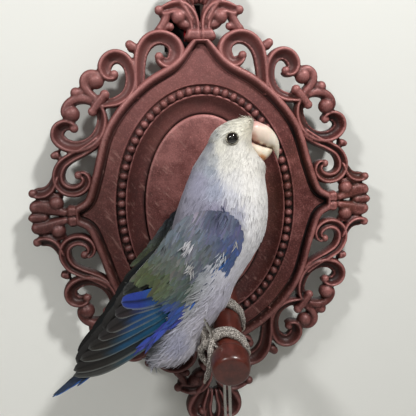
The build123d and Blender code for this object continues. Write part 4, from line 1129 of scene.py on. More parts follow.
def blades(roots, along, normals, lengths, widths, colours, rng, rows=5, lift=0.12, droop=0.10,
    tip_shade=0.0, pointed=0.8,
           root_shade=0.25):
    """Many small leaf-shaped feathers as one mesh: three points across, rising a little off the skin."""
    along = along / np.linalg.norm(along, axis=1)[:, None]
    side = np.cross(along, normals)
    side /= np.linalg.norm(side, axis=1)[:, None]
    t = np.linspace(0, 1, rows)
    outline = np.minimum(1.0, 0.45 + t * 2.2) * np.clip(1 - t ** (2.2 + 2 * (1 - pointed)), 0.04, 1) ** 0.75
    u = np.array((-1.0, 0.0, 1.0))
    bend = rng.normal(0, 0.10, len(roots))
    length, width = lengths[:, None], widths[:, None]
    centre = roots[:, None] + along[:, None] * (length * t)[..., None]
    centre = centre + side[:, None] * (bend[:, None] * length * t**2)[..., None]
    centre = centre + normals[:, None] * (length * (lift * t - droop * t**2))[..., None]
    across = side[:, None, None] * (width * outline)[:, :, None, None] * u[None, None, :, None] * 0.5
    crown = normals[:, None, None] * ((width * outline)[:, :, None] * (0.16 * (1 - np.abs(u)))[None, None,
        :])[..., None]
    points = centre[:, :, None] + across + crown
    count = len(roots)
    base = grid_faces(rows, 3)
    faces = (base[None] + (np.arange(count) * rows * 3)[:, None, None]).reshape(-1, 4)
    shade = 1.0 - root_shade * (1 - t) ** 1.5 - tip_shade * t**3
    tints = colours[:, None, None, :] * shade[None, :, None, None] * np.array((0.97, 1.03, 0.97))[None, None,
        :, None]
    tints[..., 3] = 1.0
    blade_map = np.broadcast_to(
        np.stack(np.meshgrid(t, (u + 1) / 2, indexing="ij"), axis=-1)[None, :, :, ::-1],
        (count, rows, 3, 2)).copy()
    blade_map[..., 1] *= np.clip(lengths / 3, 0.5, 6)[:, None, None]
    return points.reshape(-1, 3), faces, np.clip(tints, 0, 1).reshape(-1, 4), blade_map.reshape(-1,
        2), rows * 3


def blade_cells(sets, margin=0.08):
    """A cell of a square grid for each blade, from (blades, points of a blade, blade map) of each set."""
    side = math.ceil(math.sqrt(sum(count for count, _, _ in sets)))
    cells, first = [], 0
    for count, size, blade_map in sets:
        local = blade_map.reshape(count, size, 2)
        low, high = local.min(axis=1, keepdims=True), local.max(axis=1, keepdims=True)
        local = margin + (1 - 2 * margin) * (local - low) / np.maximum(high - low, 1e-6)
        index = np.arange(first, first + count)
        corner = np.column_stack([index % side, index // side])[:, None]
        cells.append(((local + corner) / side).reshape(-1, 2))
        first += count
    return np.vstack(cells)


def put_feathers(name, sets, material, slot, *nodes):
    """One piece from several sets of blades, each blade with its own cell of a second map named OFBake."""
    points = np.vstack([s[0] for s in sets])
    tints = np.vstack([s[2] for s in sets])
    maps = np.vstack([s[3] for s in sets])
    faces, start = [], 0
    for part in sets:
        faces.append(part[1] + start)
        start += len(part[0])
    faces = np.vstack(faces)
    made = put_mesh(name, points, faces, tints=tints)
    layer = made.data.uv_layers.new(name="blade")
    layer.data.foreach_set("uv", maps[faces.ravel()].astype(np.float32).ravel())
    cells = blade_cells([(len(part[0]) // part[4], part[4], part[3]) for part in sets])
    layer = made.data.uv_layers.new(name="OFBake")
    layer.data.foreach_set("uv", cells[faces.ravel()].astype(np.float32).ravel())
    made.data.uv_layers["blade"].active_render = True
    return finish_piece(made, material, slot, *nodes)


def clear_of_face(place, out, rim=3.2):
    """False for feathers whose root would cover an eye or the bill."""
    eye = eye_on_the_drawing_plane()
    near_eye = (np.hypot(place[:, 0] - eye[0], place[:, 1] - eye[1]) < rim) & (np.abs(out) > 0.5)
    bill = (place[:, 0] > 13.4 + 0.30 * (place[:, 1] - 37.3)) & (place[:, 1] > 30.5) & (place[:, 1] < 45.4)
    return ~(near_eye | bill)


def eye_on_the_drawing_plane():
    """The eye's place on the drawing plane, for the middle of the bird."""
    share = (-BIRD_MIDDLE - CAMERA_PLACE[1]) / (-DRAWING_DEPTH - CAMERA_PLACE[1])
    return CAMERA_PLACE[[0, 2]] + (EYE_SPOT - CAMERA_PLACE[[0, 2]]) / share


def lie_of_feathers(place, normal, rng, spread=0.12):
    """Direction of each feather along the skin."""
    flow = blended(FEATHER_LIE, place[:, 0], place[:, 1])
    flow = flow + rng.normal(0, spread, flow.shape)
    along = np.column_stack([flow[:, 0], rng.normal(0, spread, len(flow)), flow[:, 1]])
    along -= normal * np.einsum("ij,ij->i", along, normal)[:, None]
    return along / np.linalg.norm(along, axis=1)[:, None]


def scatter(count, rng, top=0.0, bottom=1.0, sides=(-math.pi, math.pi)):
    """Places spread evenly over the skin between two levels."""
    down = rng.uniform(top, bottom, count * 3)
    around = rng.uniform(*sides, count * 3)
    girth = np.interp(np.clip(down, 0, 1) * (len(BODY_TABLE) - 1), np.arange(len(BODY_TABLE)),
                      np.linalg.norm(BODY_TABLE[:, :2] - BODY_TABLE[:, 2:4], axis=1) + 2 * BODY_TABLE[:, 4])
    keep = rng.uniform(0, girth.max(), len(down)) < girth
    down, around = down[keep][:count], around[keep][:count]
    order = np.argsort(-down)
    return down[order], around[order]


class BIRD_OT_skin(bpy.types.Operator):
    """Builds the bird's skin from crown to vent, in its plumage colours"""

    bl_idname = "bird.skin"
    bl_label = "Shape the skin"

    def execute(self, context):
        down = np.linspace(0, 1, 120)[:, None]
        around = np.linspace(-math.pi, math.pi, 96, endpoint=False)[None, :]
        points, place = body_surface(down, around)
        points, faces = loft(points)
        # The skin takes the plumage colours slightly darkened: painted shade under the down.
        tints = linear_colours(blended(BODY_COLOURS, place[..., 0], place[..., 1])).reshape(-1, 4) * (0.86,
            0.86, 0.86, 1.0)
        made = put_mesh("skin_under_plumage", points, faces, tints=tints)
        layer = made.data.uv_layers.new(name="blade")
        corner = np.array([index for face in faces for index in face])
        maps = np.column_stack([np.tile(np.linspace(0, 20, 96), 120), np.repeat(np.linspace(0, 30, 120), 96)])
        layer.data.foreach_set("uv", maps[corner].astype(np.float32).ravel())
        finish_piece(made, plumage("Skin plumage", barbs=0.3), "plumage", "body_skin", "head_skin")
        return {"FINISHED"}


class BIRD_OT_down(bpy.types.Operator):
    """Lays the fine feathers of the head, breast and back"""

    bl_idname = "bird.down"
    bl_label = "Lay the down"

    def execute(self, context):
        settings = context.scene.bird_settings
        rng = np.random.default_rng(7)
        material = plumage("Down", barbs=0.35)
        for name, top, bottom, share, size in (
                ("head_feathers", 0.0, 0.27, 0.34, 0.66), ("breast_feathers", 0.22, 0.62, 0.40, 0.95),
                ("belly_feathers", 0.55, 1.0, 0.26, 1.1)):
            down, around = scatter(int(settings.down_count * share), rng, top, bottom)
            point, normal, place = surface_frame(down, around)
            out = np.sin(around)
            keep = clear_of_face(place, out)
            point, normal, place = point[keep], normal[keep], place[keep]
            count = len(point)
            along = lie_of_feathers(place, normal, rng)
            colours = blended(BODY_COLOURS, place[:, 0], place[:, 1]) * rng.normal(1.0, 0.035, (count, 1))
            lengths = rng.uniform(3.4, 6.2, count) * size
            widths = rng.uniform(0.5, 1.1, count) * size
            made = blades(point + normal * 0.1, along, normal, lengths, widths, linear_colours(colours), rng,
                rows=3,
                          lift=0.07, droop=0.05, root_shade=0.16)
            put_feathers(name, [made], material, "plumage")
        return {"FINISHED"}


class BIRD_OT_fluff(bpy.types.Operator):
    """Hangs the long soft feathers of the flanks, thighs and vent"""

    bl_idname = "bird.fluff"
    bl_label = "Hang the vent fluff"

    def execute(self, context):
        settings = context.scene.bird_settings
        rng = np.random.default_rng(23)
        down, around = scatter(settings.fluff_count, rng, 0.60, 0.985, (-2.4, 2.4))
        point, normal, place = surface_frame(down, around)
        count = len(point)
        along = lie_of_feathers(place, normal, rng, 0.22)
        along += normal * rng.uniform(0.0, 0.16, count)[:, None]
        colours = blended(BODY_COLOURS, place[:, 0], place[:, 1]) * rng.normal(1.03, 0.06, (count, 1))
        sets = [blades(point, along, normal, rng.uniform(5.0, 9.5, count), rng.uniform(0.4, 1.1, count),
                       linear_colours(colours), rng, rows=6, lift=0.08, droop=0.14, pointed=1.0)]
        put_feathers("vent_fluff", sets, plumage("Fluff", barbs=0.2), "plumage")
        return {"FINISHED"}


# ---------------------------------------------------------------- bird: wings
# Back and front edge of the folded wing on the drawing plane, from the shoulder to the tip.
WING_BACK = ((-6.0, 7.0), (-14.0, 5.0), (-22.0, -1.0), (-27.5, -8.0), (-33.0, -15.0), (-39.0, -20.6),
    (-44.0, -26.0), (-47.2, -31.5),
             (-51.0, -39.0), (-56.8, -46.4), (-63.0, -53.4), (-69.2, -60.0))
WING_FRONT = ((3.0, 6.0), (8.4, 0.0), (9.6, -8.0), (6.0, -17.0), (-0.5, -26.0), (-8.0, -33.5),
    (-16.0, -40.0), (-25.0, -47.4),
              (-35.0, -55.0), (-46.0, -61.4), (-57.0, -65.6), (-70.6, -67.0))
WING_STATIONS = 61
WING_LINES = (smooth_line(WING_BACK, WING_STATIONS), smooth_line(WING_FRONT, WING_STATIONS))
# Flight feathers from the back edge down: tip, a middle point and root on the drawing plane, half width, and
# kind.
FLIGHT_FEATHERS = (
    ((-47.3, -33.0), (-36.0, -32.6), (-19.0, -27.8), 4.4, "violet"),
    ((-50.4, -39.0), (-40.0, -35.6), (-20.0, -30.6), 3.7, "dark"),
    ((-54.6, -46.0), (-42.0, -39.6), (-21.0, -31.4), 3.7, "blue"),
    ((-58.6, -49.4), (-44.5, -43.6), (-21.0, -33.2), 3.6, "blue"),
    ((-63.4, -53.6), (-48.0, -48.2), (-21.0, -35.4), 3.6, "teal"),
    ((-67.4, -58.6), (-50.0, -53.2), (-21.0, -38.4), 3.6, "teal"),
    ((-70.7, -63.4), (-52.0, -57.8), (-21.0, -41.0), 3.9, "black"),
    ((-71.0, -66.0), (-52.0, -61.2), (-12.0, -36.6), 3.3, "green"),
)
# Feathers that close the wing's back edge beneath the coverts.
UNDER_FEATHERS = (
    ((-46.0, -29.4), (-38.0, -24.4), (-24.0, -14.0), 3.6, "grey"),
    ((-50.0, -37.4), (-43.0, -29.6), (-27.0, -18.0), 3.6, "black"),
    ((-56.0, -45.4), (-47.0, -36.0), (-30.0, -24.0), 3.8, "black"),
    ((-62.6, -53.0), (-52.0, -43.0), (-34.0, -30.0), 3.8, "black"),
    ((-69.0, -60.0), (-58.0, -50.0), (-38.0, -36.0), 3.8, "black"),
)
VANE_COLOURS = {
    "grey": ((78, 84, 76), (84, 92, 84), (90, 98, 96)),
    "violet": ((50, 74, 176), (36, 104, 166), (38, 108, 150)),
    "dark": ((56, 48, 52), (44, 60, 120), (36, 96, 150)),
    "blue": ((50, 44, 44), (30, 76, 140), (28, 96, 150)),
    "teal": ((46, 42, 38), (24, 84, 128), (26, 100, 142)),
    "black": ((40, 37, 34), (38, 40, 36), (26, 46, 62)),
    "green": ((74, 76, 74), (24, 96, 128), (34, 112, 168)),
}


def wing_depth(x, z):
    """Depth of the wing's outer face from the bird's middle, by place on the drawing plane."""
    low, high = box_mm("wing_right")
    reach = np.clip((np.asarray(x, float) + 71.0) / 80.0, 0, 1)
    across = (np.asarray(x, float) * 0.62 - np.asarray(z, float) * 0.78 - 3.0) / 17.0
    slope = 7.0 + (BIRD_MIDDLE * -1 - low[1] - 10.2) * reach**0.85
    return slope - 3.6 * np.clip(across, -1.4, 1.4) ** 2 * (0.3 + 0.7 * reach)


def wing_points(x, z, raised=0.0):
    return at_depth(x, z, BIRD_MIDDLE + wing_depth(x, z) + raised)


def wing_sheet():
    """Closed slab of the folded wing, under its feathers."""
    back, front = WING_LINES
    share = np.linspace(0.08, 0.92, 17)
    x = back[:, None, 0] + (front[:, None, 0] - back[:, None, 0]) * share
    z = back[:, None, 1] + (front[:, None, 1] - back[:, None, 1]) * share
    outer = wing_points(x[:-3], z[:-3], -3.0)
    inner = outer.copy()
    inner[..., 1] += 1.6
    rings = np.concatenate([outer, inner[:, ::-1]], axis=1)
    # The lining takes the covert colours darkened to under half: painted shade under the feathers.
    tints = linear_colours(blended(WING_COLOURS, x[:-3], z[:-3])) * (0.45, 0.45, 0.45, 1)
    tints = np.concatenate([tints, tints[:, ::-1]], axis=1).reshape(-1, 4)
    return rings, tints


def vane(tip, middle, root, half_width, kind, raised, stations=34):
    """One flight feather as a cambered blade with a shaft and pale margins."""
    line = smooth_line((root, middle, tip), stations)
    t = np.linspace(0, 1, stations)
    along = np.gradient(line, axis=0)
    along /= np.linalg.norm(along, axis=1)[:, None]
    down = np.column_stack([-along[:, 1], along[:, 0]])      # towards the wing's front edge
    half = half_width * np.minimum(1.0, 0.55 + 1.4 * t) * np.clip(1 - t**9, 0, 1) ** 0.5
    half = np.maximum(half, 0.05)
    u = np.array((-1.0, -0.93, -0.6, -0.25, -0.04, 0.04, 0.35, 0.7, 0.9, 1.0))
    x = line[:, 0, None] + down[:, 0, None] * half[:, None] * u
    z = line[:, 1, None] + down[:, 1, None] * half[:, None] * u
    ribs = 0.10 * np.exp(-((u / 0.06) ** 2))
    lift = raised + 0.35 * (1 - u**2)[None, :] * (half / half_width)[:, None] + ribs
    points = wing_points(x, z, lift)
    tip_colour, mid_colour, root_colour = (np.array(c, float) for c in VANE_COLOURS[kind])
    blend = np.clip((t[:, None] - 0.30) / 0.42, 0, 1)
    tone = root_colour * (1 - blend) + mid_colour * blend
    dark_from = {"violet": 1.4, "green": 0.55}.get(kind, 0.62)
    dark = np.clip((t[:, None] - dark_from) / 0.2, 0, 1)
    tone = tone * (1 - dark) + tip_colour * dark
    if kind == "violet":
        tone = root_colour * (1 - blend) + tip_colour * blend
    tint = np.repeat(tone[:, None, :], len(u), axis=1)
    inner = np.clip((0.25 - u) / 0.8, 0, 1)[None, :, None] * (0.0 if kind == "violet" else 0.55)
    tint = tint * (1 - inner) + np.array((38, 38, 40.0)) * inner
    tint[:, 4:6] *= 0.55
    pale = np.array((146, 152, 150.0))
    edge = np.where(u > 0.85, 1.0, 0.0)[None, :, None] * np.clip(t * 3 - 0.3, 0, 1)[:, None, None]
    rim = np.clip((t - 0.965) / 0.02, 0, 1)[:, None, None] * 0.6
    tint = tint * (1 - np.maximum(edge * 0.75, rim)) + pale * np.maximum(edge * 0.75, rim)
    maps = np.stack(np.meshgrid(t * 14, (u + 1) / 2, indexing="ij"), axis=-1)[..., ::-1]
    faces = grid_faces(stations, len(u))
    return points.reshape(-1, 3), faces, linear_colours(tint * 0.86).reshape(-1, 4), maps.reshape(-1,
        2), points[..., 0].size


def mirrored_set(part):
    """The same feathers on the bird's other side."""
    points = part[0].copy()
    points[:, 1] = -2 * BIRD_MIDDLE - points[:, 1]
    return points, part[1][:, ::-1], *part[2:]


def covert_set(settings, rng):
    """Small soft feathers over the wing's shoulder and forearm."""
    count = settings.covert_count
    s = rng.uniform(0.0, 0.60, count)
    t = rng.uniform(0.0, 1.0, count)
    order = np.argsort(-s)
    s, t = s[order], t[order]
    back, front = WING_LINES
    at = s * (WING_STATIONS - 1)
    places = []
    for column in (0, 1):
        start = np.interp(at, np.arange(WING_STATIONS), back[:, column])
        end = np.interp(at, np.arange(WING_STATIONS), front[:, column])
        places.append(start + (end - start) * t)
    x, z = places
    keep = (x > -34.5 + 14.0 * t) | (z > -21.0 - 5.0 * t)
    x, z = x[keep], z[keep]
    root = wing_points(x, z, 0.5 + 0.6 * (1 - s[keep]))
    step = 0.4
    dx = wing_points(x + step, z) - wing_points(x - step, z)
    dz = wing_points(x, z + step) - wing_points(x, z - step)
    normal = np.cross(dx, dz)
    normal /= np.linalg.norm(normal, axis=1)[:, None]
    normal *= np.where(normal[:, 1] > 0, -1.0, 1.0)[:, None]
    place = np.column_stack([x, z])
    along = lie_of_feathers(place, normal, rng, 0.07)
    colours = blended(WING_COLOURS, x, z) * rng.normal(0.90, 0.07, (len(x), 1)) + rng.normal(0, 2.5,
        (len(x), 3))
    return blades(root, along, normal, rng.uniform(5.0, 8.5, len(x)), rng.uniform(1.6, 3.4, len(x)),
        linear_colours(colours), rng,
                  rows=6, lift=0.06, droop=0.04, tip_shade=-0.08, root_shade=0.30)


def edge_set(rng):
    """Blue narrow feathers along the wing's front edge."""
    count = 130
    s = np.sort(rng.uniform(0.12, 0.66, count))[::-1]
    at = s * (WING_STATIONS - 1)
    x = np.interp(at, np.arange(WING_STATIONS), WING_LINES[1][:, 0]) + rng.uniform(-3.4, -0.4, count)
    z = np.interp(at, np.arange(WING_STATIONS), WING_LINES[1][:, 1]) + rng.uniform(0.4, 3.0, count)
    root = wing_points(x, z, 0.6)
    normal = np.tile((0.18, -0.97, -0.12), (count, 1))
    along = np.column_stack([np.full(count, -0.72), np.full(count, 0.06),
        np.full(count, -0.68)]) + rng.normal(0, 0.04, (count, 3))
    violet = np.clip((s - 0.34) / 0.14, 0, 1)[:, None] * rng.uniform(0.2, 1.0, (count, 1))
    colours = np.array((38, 88, 156.0)) * (1 - violet) + np.array((54, 62, 170.0)) * violet
    colours = colours * rng.normal(1.0, 0.12, (count, 1))
    return blades(root, along, normal, rng.uniform(7.0, 12.0, count), rng.uniform(1.4, 2.6, count),
        linear_colours(colours), rng,
                  rows=7, lift=0.02, droop=0.01, tip_shade=0.15)


def stray_set(rng):
    """White stray feathers, and dark blades that paint the shade of gaps among the coverts."""
    sets = []
    for x, z, count, colour, reach in (
            (-15.6, -9.0, 22, (206, 206, 212), 2.6), (-14.6, -19.0, 14, (190, 190, 190), 2.2),
            (-0.4, -15.0, 14, (190, 196, 206), 2.2),
            (-27.0, -9.0, 3, (40, 44, 50), 1.4), (-18.0, -9.6, 3, (38, 42, 52), 0.8),
            (6.4, -8.4, 5, (176, 174, 170), 1.4),
            (0.6, 4.6, 12, (62, 68, 96), 3.4), (-6.0, -27.0, 4, (36, 52, 80), 3.0)):
        px = x + rng.normal(0, reach * 0.5, count)
        pz = z + rng.normal(0, reach * 0.5, count)
        root = wing_points(px, pz, 1.9)
        normal = np.tile((0.12, -0.98, -0.05), (count, 1))
        along = lie_of_feathers(np.column_stack([px, pz]), normal, rng, 0.28)
        colours = np.array(colour, float) * rng.normal(1.0, 0.06, (count, 1))
        sets.append(blades(root, along, normal, rng.uniform(2.4, 5.0, count), rng.uniform(0.22, 0.6, count),
            linear_colours(colours),
                           rng, rows=5, lift=0.12, droop=0.06, pointed=1.0, root_shade=0.25))
    return sets


class BIRD_OT_wings(bpy.types.Operator):
    """Builds both folded wings: coverts, secondaries and long primaries"""

    bl_idname = "bird.wings"
    bl_label = "Fold the wings"

    def execute(self, context):
        settings = context.scene.bird_settings
        rng = np.random.default_rng(5)
        rings, tints = wing_sheet()
        points, faces = loft(rings)
        flights = [vane(*feather, raised=0.6 - 0.34 * index) for index,
            feather in enumerate(FLIGHT_FEATHERS)][::-1]
        flights += [vane(*feather, raised=-2.3 - 0.2 * index) for index, feather in enumerate(UNDER_FEATHERS)]
        small = [edge_set(rng), covert_set(settings, rng), *stray_set(rng)]
        under, soft = plumage("Wing lining", barbs=0.3), plumage("Coverts", barbs=0.45)
        stiff = plumage("Flight feathers", roughness=0.42, sheen=0.1, barbs=0.8)
        for side in ("right", "left"):
            turn = (lambda part: part) if side == "right" else mirrored_set
            lining = points if side == "right" else turn((points, np.zeros((0, 4), int)))[0]
            made = put_mesh(f"wing_{side}_lining", lining,
                faces if side == "right" else [f[::-1] for f in faces], tints=tints)
            layer = made.data.uv_layers.new(name="blade")
            corner = np.array([index for face in faces for index in face])
            layer.data.foreach_set("uv", (points[corner][:, [0, 2]] * 0.4).astype(np.float32).ravel())
            finish_piece(made, under, "flight_feathers", f"wing_{side}")
            put_feathers(f"wing_{side}_flights", [turn(part) for part in flights], stiff, "flight_feathers")
            put_feathers(f"wing_{side}_coverts", [turn(part) for part in small], soft, "flight_feathers")
        return {"FINISHED"}


# ---------------------------------------------------------------- bird: tail
# Tail feathers: tip on the drawing plane, depth from the middle at the tip, half width, and colour.
TAIL_FEATHERS = (
    ((-80.6, -74.8), 1.0, 2.4, (44, 104, 176)), ((-78.4, -73.6), 2.4, 2.4, (40, 96, 170)),
    ((-75.4, -71.6), 3.6, 2.3, (44, 92, 160)),
    ((-72.0, -69.6), 4.6, 2.2, (40, 84, 150)), ((-68.0, -68.4), 5.4, 2.1, (38, 80, 140)),
)


class BIRD_OT_tail(bpy.types.Operator):
    """Builds the tail feathers"""

    bl_idname = "bird.tail"
    bl_label = "Fan the tail"

    def execute(self, context):
        sets = []
        t = np.linspace(0, 1, 30)
        u = np.array((-1.0, -0.8, -0.4, -0.05, 0.05, 0.4, 0.8, 1.0))
        for side in (1, -1):
            for index, (tip, out, half_width, colour) in enumerate(TAIL_FEATHERS):
                line = smooth_line(((-33.0, -42.0), (-50.0, -54.0), tip), 30)
                half = half_width * np.minimum(1, 0.5 + 1.2 * t) * np.maximum(np.clip(1 - t**5, 0, 1) ** 0.7,
                    0.04)
                depth = BIRD_MIDDLE + side * (out * t[:, None] + half[:, None] * u * 0.55)
                lift = -0.25 * index - 0.5 * u**2
                x = line[:, 0, None] + 0.62 * (half[:, None] * u * 0.7 + lift)
                z = line[:, 1, None] - 0.78 * (half[:, None] * u * 0.7 - lift * 0.2)
                points = at_depth(x, z, BIRD_MIDDLE)
                points[..., 1] = -depth
                tint = np.repeat(np.array(colour, float)[None, None], 30, axis=0).repeat(len(u), axis=1)
                inner = np.clip((0.2 - u) / 0.6, 0, 1)[None, :, None]
                tint = tint * (1 - 0.7 * inner) + np.array((30, 30, 34.0)) * 0.7 * inner
                tint[:, 3:5] *= 0.5
                maps = np.stack(np.meshgrid(t * 14, (u + 1) / 2, indexing="ij"), axis=-1)[..., ::-1]
                sets.append((points.reshape(-1, 3), grid_faces(30, len(u)),
                    linear_colours(tint).reshape(-1, 4), maps.reshape(-1, 2),
                             30 * len(u)))
        put_feathers("tail_fan", sets, plumage("Tail feathers", roughness=0.42, sheen=0.1, barbs=0.8),
            "flight_feathers", "tail_feathers")
        return {"FINISHED"}


# ---------------------------------------------------------------- bird: bill and eyes
# Bill sections on the drawing plane: upper edge, lower edge, half width.
UPPER_BILL = (
    ((12.0, 44.6), (11.6, 39.4), 4.6), ((16.6, 45.7), (13.6, 37.8), 5.1), ((19.4, 44.7), (15.8, 36.5), 5.0),
    ((22.4, 43.2), (18.8, 35.2), 4.6),
    ((25.0, 40.6), (21.8, 34.2), 3.9), ((26.8, 37.2), (23.8, 33.4), 3.1), ((27.4, 34.3), (24.9, 32.3), 2.3),
    ((27.4, 31.8), (25.8, 30.8), 1.5),
    ((27.2, 29.8), (26.4, 29.3), 0.8), ((26.9, 28.4), (26.7, 28.2), 0.25),
)
LOWER_BILL = (
    ((11.8, 37.4), (12.6, 34.6), 3.4), ((14.0, 37.0), (15.2, 31.6), 4.0), ((17.2, 35.6), (18.0, 28.6), 4.0),
    ((20.2, 34.4), (20.4, 28.2), 3.5),
    ((22.4, 33.8), (22.4, 29.8), 2.8), ((23.8, 33.3), (23.6, 31.3), 1.8), ((24.3, 33.0), (24.1, 32.2), 0.5),
)
# Colour of the bill at places on the drawing plane: x, z, reach, red, green, blue.
BILL_COLOURS = (
    (16.6, 45, 1.6, 226, 176, 170), (19.4, 44.6, 1.3, 236, 188, 180), (22, 42.6, 2, 240, 222, 206),
    (18, 42, 2, 240, 222, 208),
    (25, 38, 3, 238, 230, 214), (20, 39, 2.5, 238, 220, 204), (27, 30, 1.6, 206, 198, 182),
    (15, 39, 1.2, 224, 176, 160),
    (14, 37.6, 0.7, 118, 46, 38), (17, 36.4, 0.7, 170, 100, 84), (20, 35, 0.6, 120, 62, 50),
    (23.5, 33.8, 0.8, 168, 150, 124),
    (20, 32, 2, 228, 220, 200), (17, 34, 1.6, 234, 224, 206), (16, 32, 1.2, 226, 208, 186),
    (18.8, 29.6, 1.4, 204, 130, 76),
    (23, 31.5, 1.2, 206, 196, 172),
)


def bill_half(sections, columns=36, stations=30):
    flat = np.array([(*top, *bottom, half) for top, bottom, half in sections], float)
    middle = (flat[:, :2] + flat[:, 2:4]) / 2
    rows = smooth_line(np.column_stack([middle, flat]), stations, space=2)[:, 2:]
    turn = np.linspace(0, 2 * math.pi, columns, endpoint=False)
    c, s = np.cos(turn), np.sin(turn)
    across = np.sign(c) * np.abs(c) ** 0.95
    out = np.sign(s) * np.abs(s) ** 0.85
    place = (rows[:, None, :2] + rows[:, None, 2:4]) / 2 + (rows[:, None, :2] - rows[:, None,
        2:4]) / 2 * across[None, :, None]
    points = at_depth(place[..., 0], place[..., 1], BIRD_MIDDLE)
    points[..., 1] -= rows[:, None, 4] * out[None, :]
    solid = loft(points)
    tints = linear_colours(blended(BILL_COLOURS, place[..., 0], place[..., 1])).reshape(-1, 4)
    return solid, tints


class BIRD_OT_bill(bpy.types.Operator):
    """Shapes the two halves of the hooked bill"""

    bl_idname = "bird.bill"
    bl_label = "Shape the bill"

    def execute(self, context):
        material = tinted_horn("Bill horn")
        for node, sections in (("upper_bill", UPPER_BILL), ("lower_bill", LOWER_BILL)):
            solid, tints = bill_half(sections)
            made = put_mesh(f"{node}_horn", *solid, tints=tints)
            finish_piece(made, material, "bill", node)
        return {"FINISHED"}


class BIRD_OT_eyes(bpy.types.Operator):
    """Sets the glass eyes and their bare rings"""

    bl_idname = "bird.eyes"
    bl_label = "Set the eyes"

    def execute(self, context):
        recipe = Recipe("Glass eye")
        spots = recipe.noise(600.0, 3.0)
        tone = recipe.ramp(spots, "Fac", (0.3, paint(8, 6, 6)), (0.7, paint(26, 17, 13)))
        recipe.colour((tone, "Color"))
        recipe.set(Roughness=0.05, Specular_IOR_Level=0.7, Coat_Weight=1.0, Coat_Roughness=0.02)
        rings = scaly_skin("Eye ring", paint(216, 210, 190))
        rng = np.random.default_rng(3)
        for side, sign in (("right", -1), ("left", 1)):
            centre = box_centre(f"eye_{side}")
            points, faces = ball((0, 0, 0), (2.75, 2.75, 2.75), 24, 32)
            made = put_mesh(f"glass_eye_{side}", points + centre + (0, 0.5 * sign, 0), faces)
            finish_piece(made, recipe.material, "eye", f"eye_{side}")
            turn = np.linspace(0, 2 * math.pi, 60, endpoint=False)
            small = np.linspace(0, 2 * math.pi, 10, endpoint=False)
            wide = 2.62 + 0.05 * np.sin(turn * 17) + rng.normal(0, 0.02, 60)
            points = []
            for angle, radius in zip(turn, wide):
                spoke = np.array((math.cos(angle), 0, math.sin(angle)))
                middle = centre + spoke * (radius + 0.10) + np.array((0, sign * 1.5, 0))
                points.append([middle + 0.36 * (math.cos(a) * spoke + math.sin(a) * np.array((0, sign,
                    0))) for a in small])
            points = np.array(points).reshape(-1, 3)
            columns = grid_faces(61, 10, closed=True) % 600
            made = put_mesh(f"eye_ring_{side}", points, columns)
            finish_piece(made, rings, "plumage")
        return {"FINISHED"}


# ---------------------------------------------------------------- bird: feet and wires
# Toes as points of (x, z, depth, radius), in millimetres: the toes over the peg, the one down beside it, and
# the hind ones.
FRONT_TOES = (
    ((-9.6, -57.6, 63.0, 2.1), (-7.4, -54.6, 64.6, 1.8), (-4.0, -52.2, 66.0, 1.65), (-0.6, -51.0, 66.8, 1.6),
    (3.0, -51.6, 67.4, 1.7),
     (6.4, -54.0, 67.8, 1.55), (8.8, -57.2, 67.8, 1.45), (9.7, -60.2, 67.4, 1.2)),
    ((-9.0, -56.0, 61.6, 1.9), (-6.0, -52.8, 62.2, 1.6), (-2.4, -50.8, 62.6, 1.5), (1.4, -50.7, 62.8, 1.5),
    (5.0, -52.3, 63.2, 1.5),
     (7.8, -55.0, 64.2, 1.5), (9.2, -57.8, 65.4, 1.3)),
    ((-6.8, -53.6, 66.6, 1.5), (-7.9, -56.6, 68.6, 1.45), (-8.4, -60.6, 69.8, 1.35),
    (-9.0, -64.8, 70.2, 1.4), (-9.9, -68.6, 69.8, 1.35),
     (-10.6, -71.2, 69.0, 1.15)),
    ((-9.8, -56.6, 63.0, 1.9), (-11.6, -60.0, 61.6, 1.7), (-11.2, -64.0, 60.4, 1.5),
    (-9.6, -67.2, 59.6, 1.2)),
    ((-6.4, -54.6, 68.0, 0.6), (-4.6, -56.2, 69.8, 0.62), (-2.2, -55.6, 70.6, 0.6), (0.0, -56.2, 70.9, 0.6),
    (1.6, -58.0, 70.6, 0.5)),
)
BACK_TOES = (
    ((-7.2, -50.0, 43.0, 1.9), (-4.6, -47.6, 43.6, 1.6), (-1.0, -45.4, 44.4, 1.5), (3.0, -44.6, 45.2, 1.55),
    (7.0, -45.9, 46.2, 1.55),
     (10.2, -49.0, 46.8, 1.45), (11.9, -53.0, 46.8, 1.35), (12.0, -56.6, 46.4, 1.1)),
    ((-6.6, -49.4, 40.6, 1.7), (-2.0, -45.7, 40.4, 1.45), (3.2, -43.9, 40.6, 1.45), (8.0, -45.6, 41.4, 1.4),
    (11.6, -49.6, 42.4, 1.3),
     (12.6, -53.6, 43.4, 1.1)),
    ((-7.4, -50.4, 43.0, 1.7), (-6.2, -54.0, 42.0, 1.5), (-3.6, -58.0, 41.0, 1.4), (-0.6, -60.2, 40.6, 1.1)),
)
ANKLES = {"left": ((-6.8, -49.4, 42.4), BACK_TOES), "right": ((-9.4, -56.2, 63.0), FRONT_TOES)}


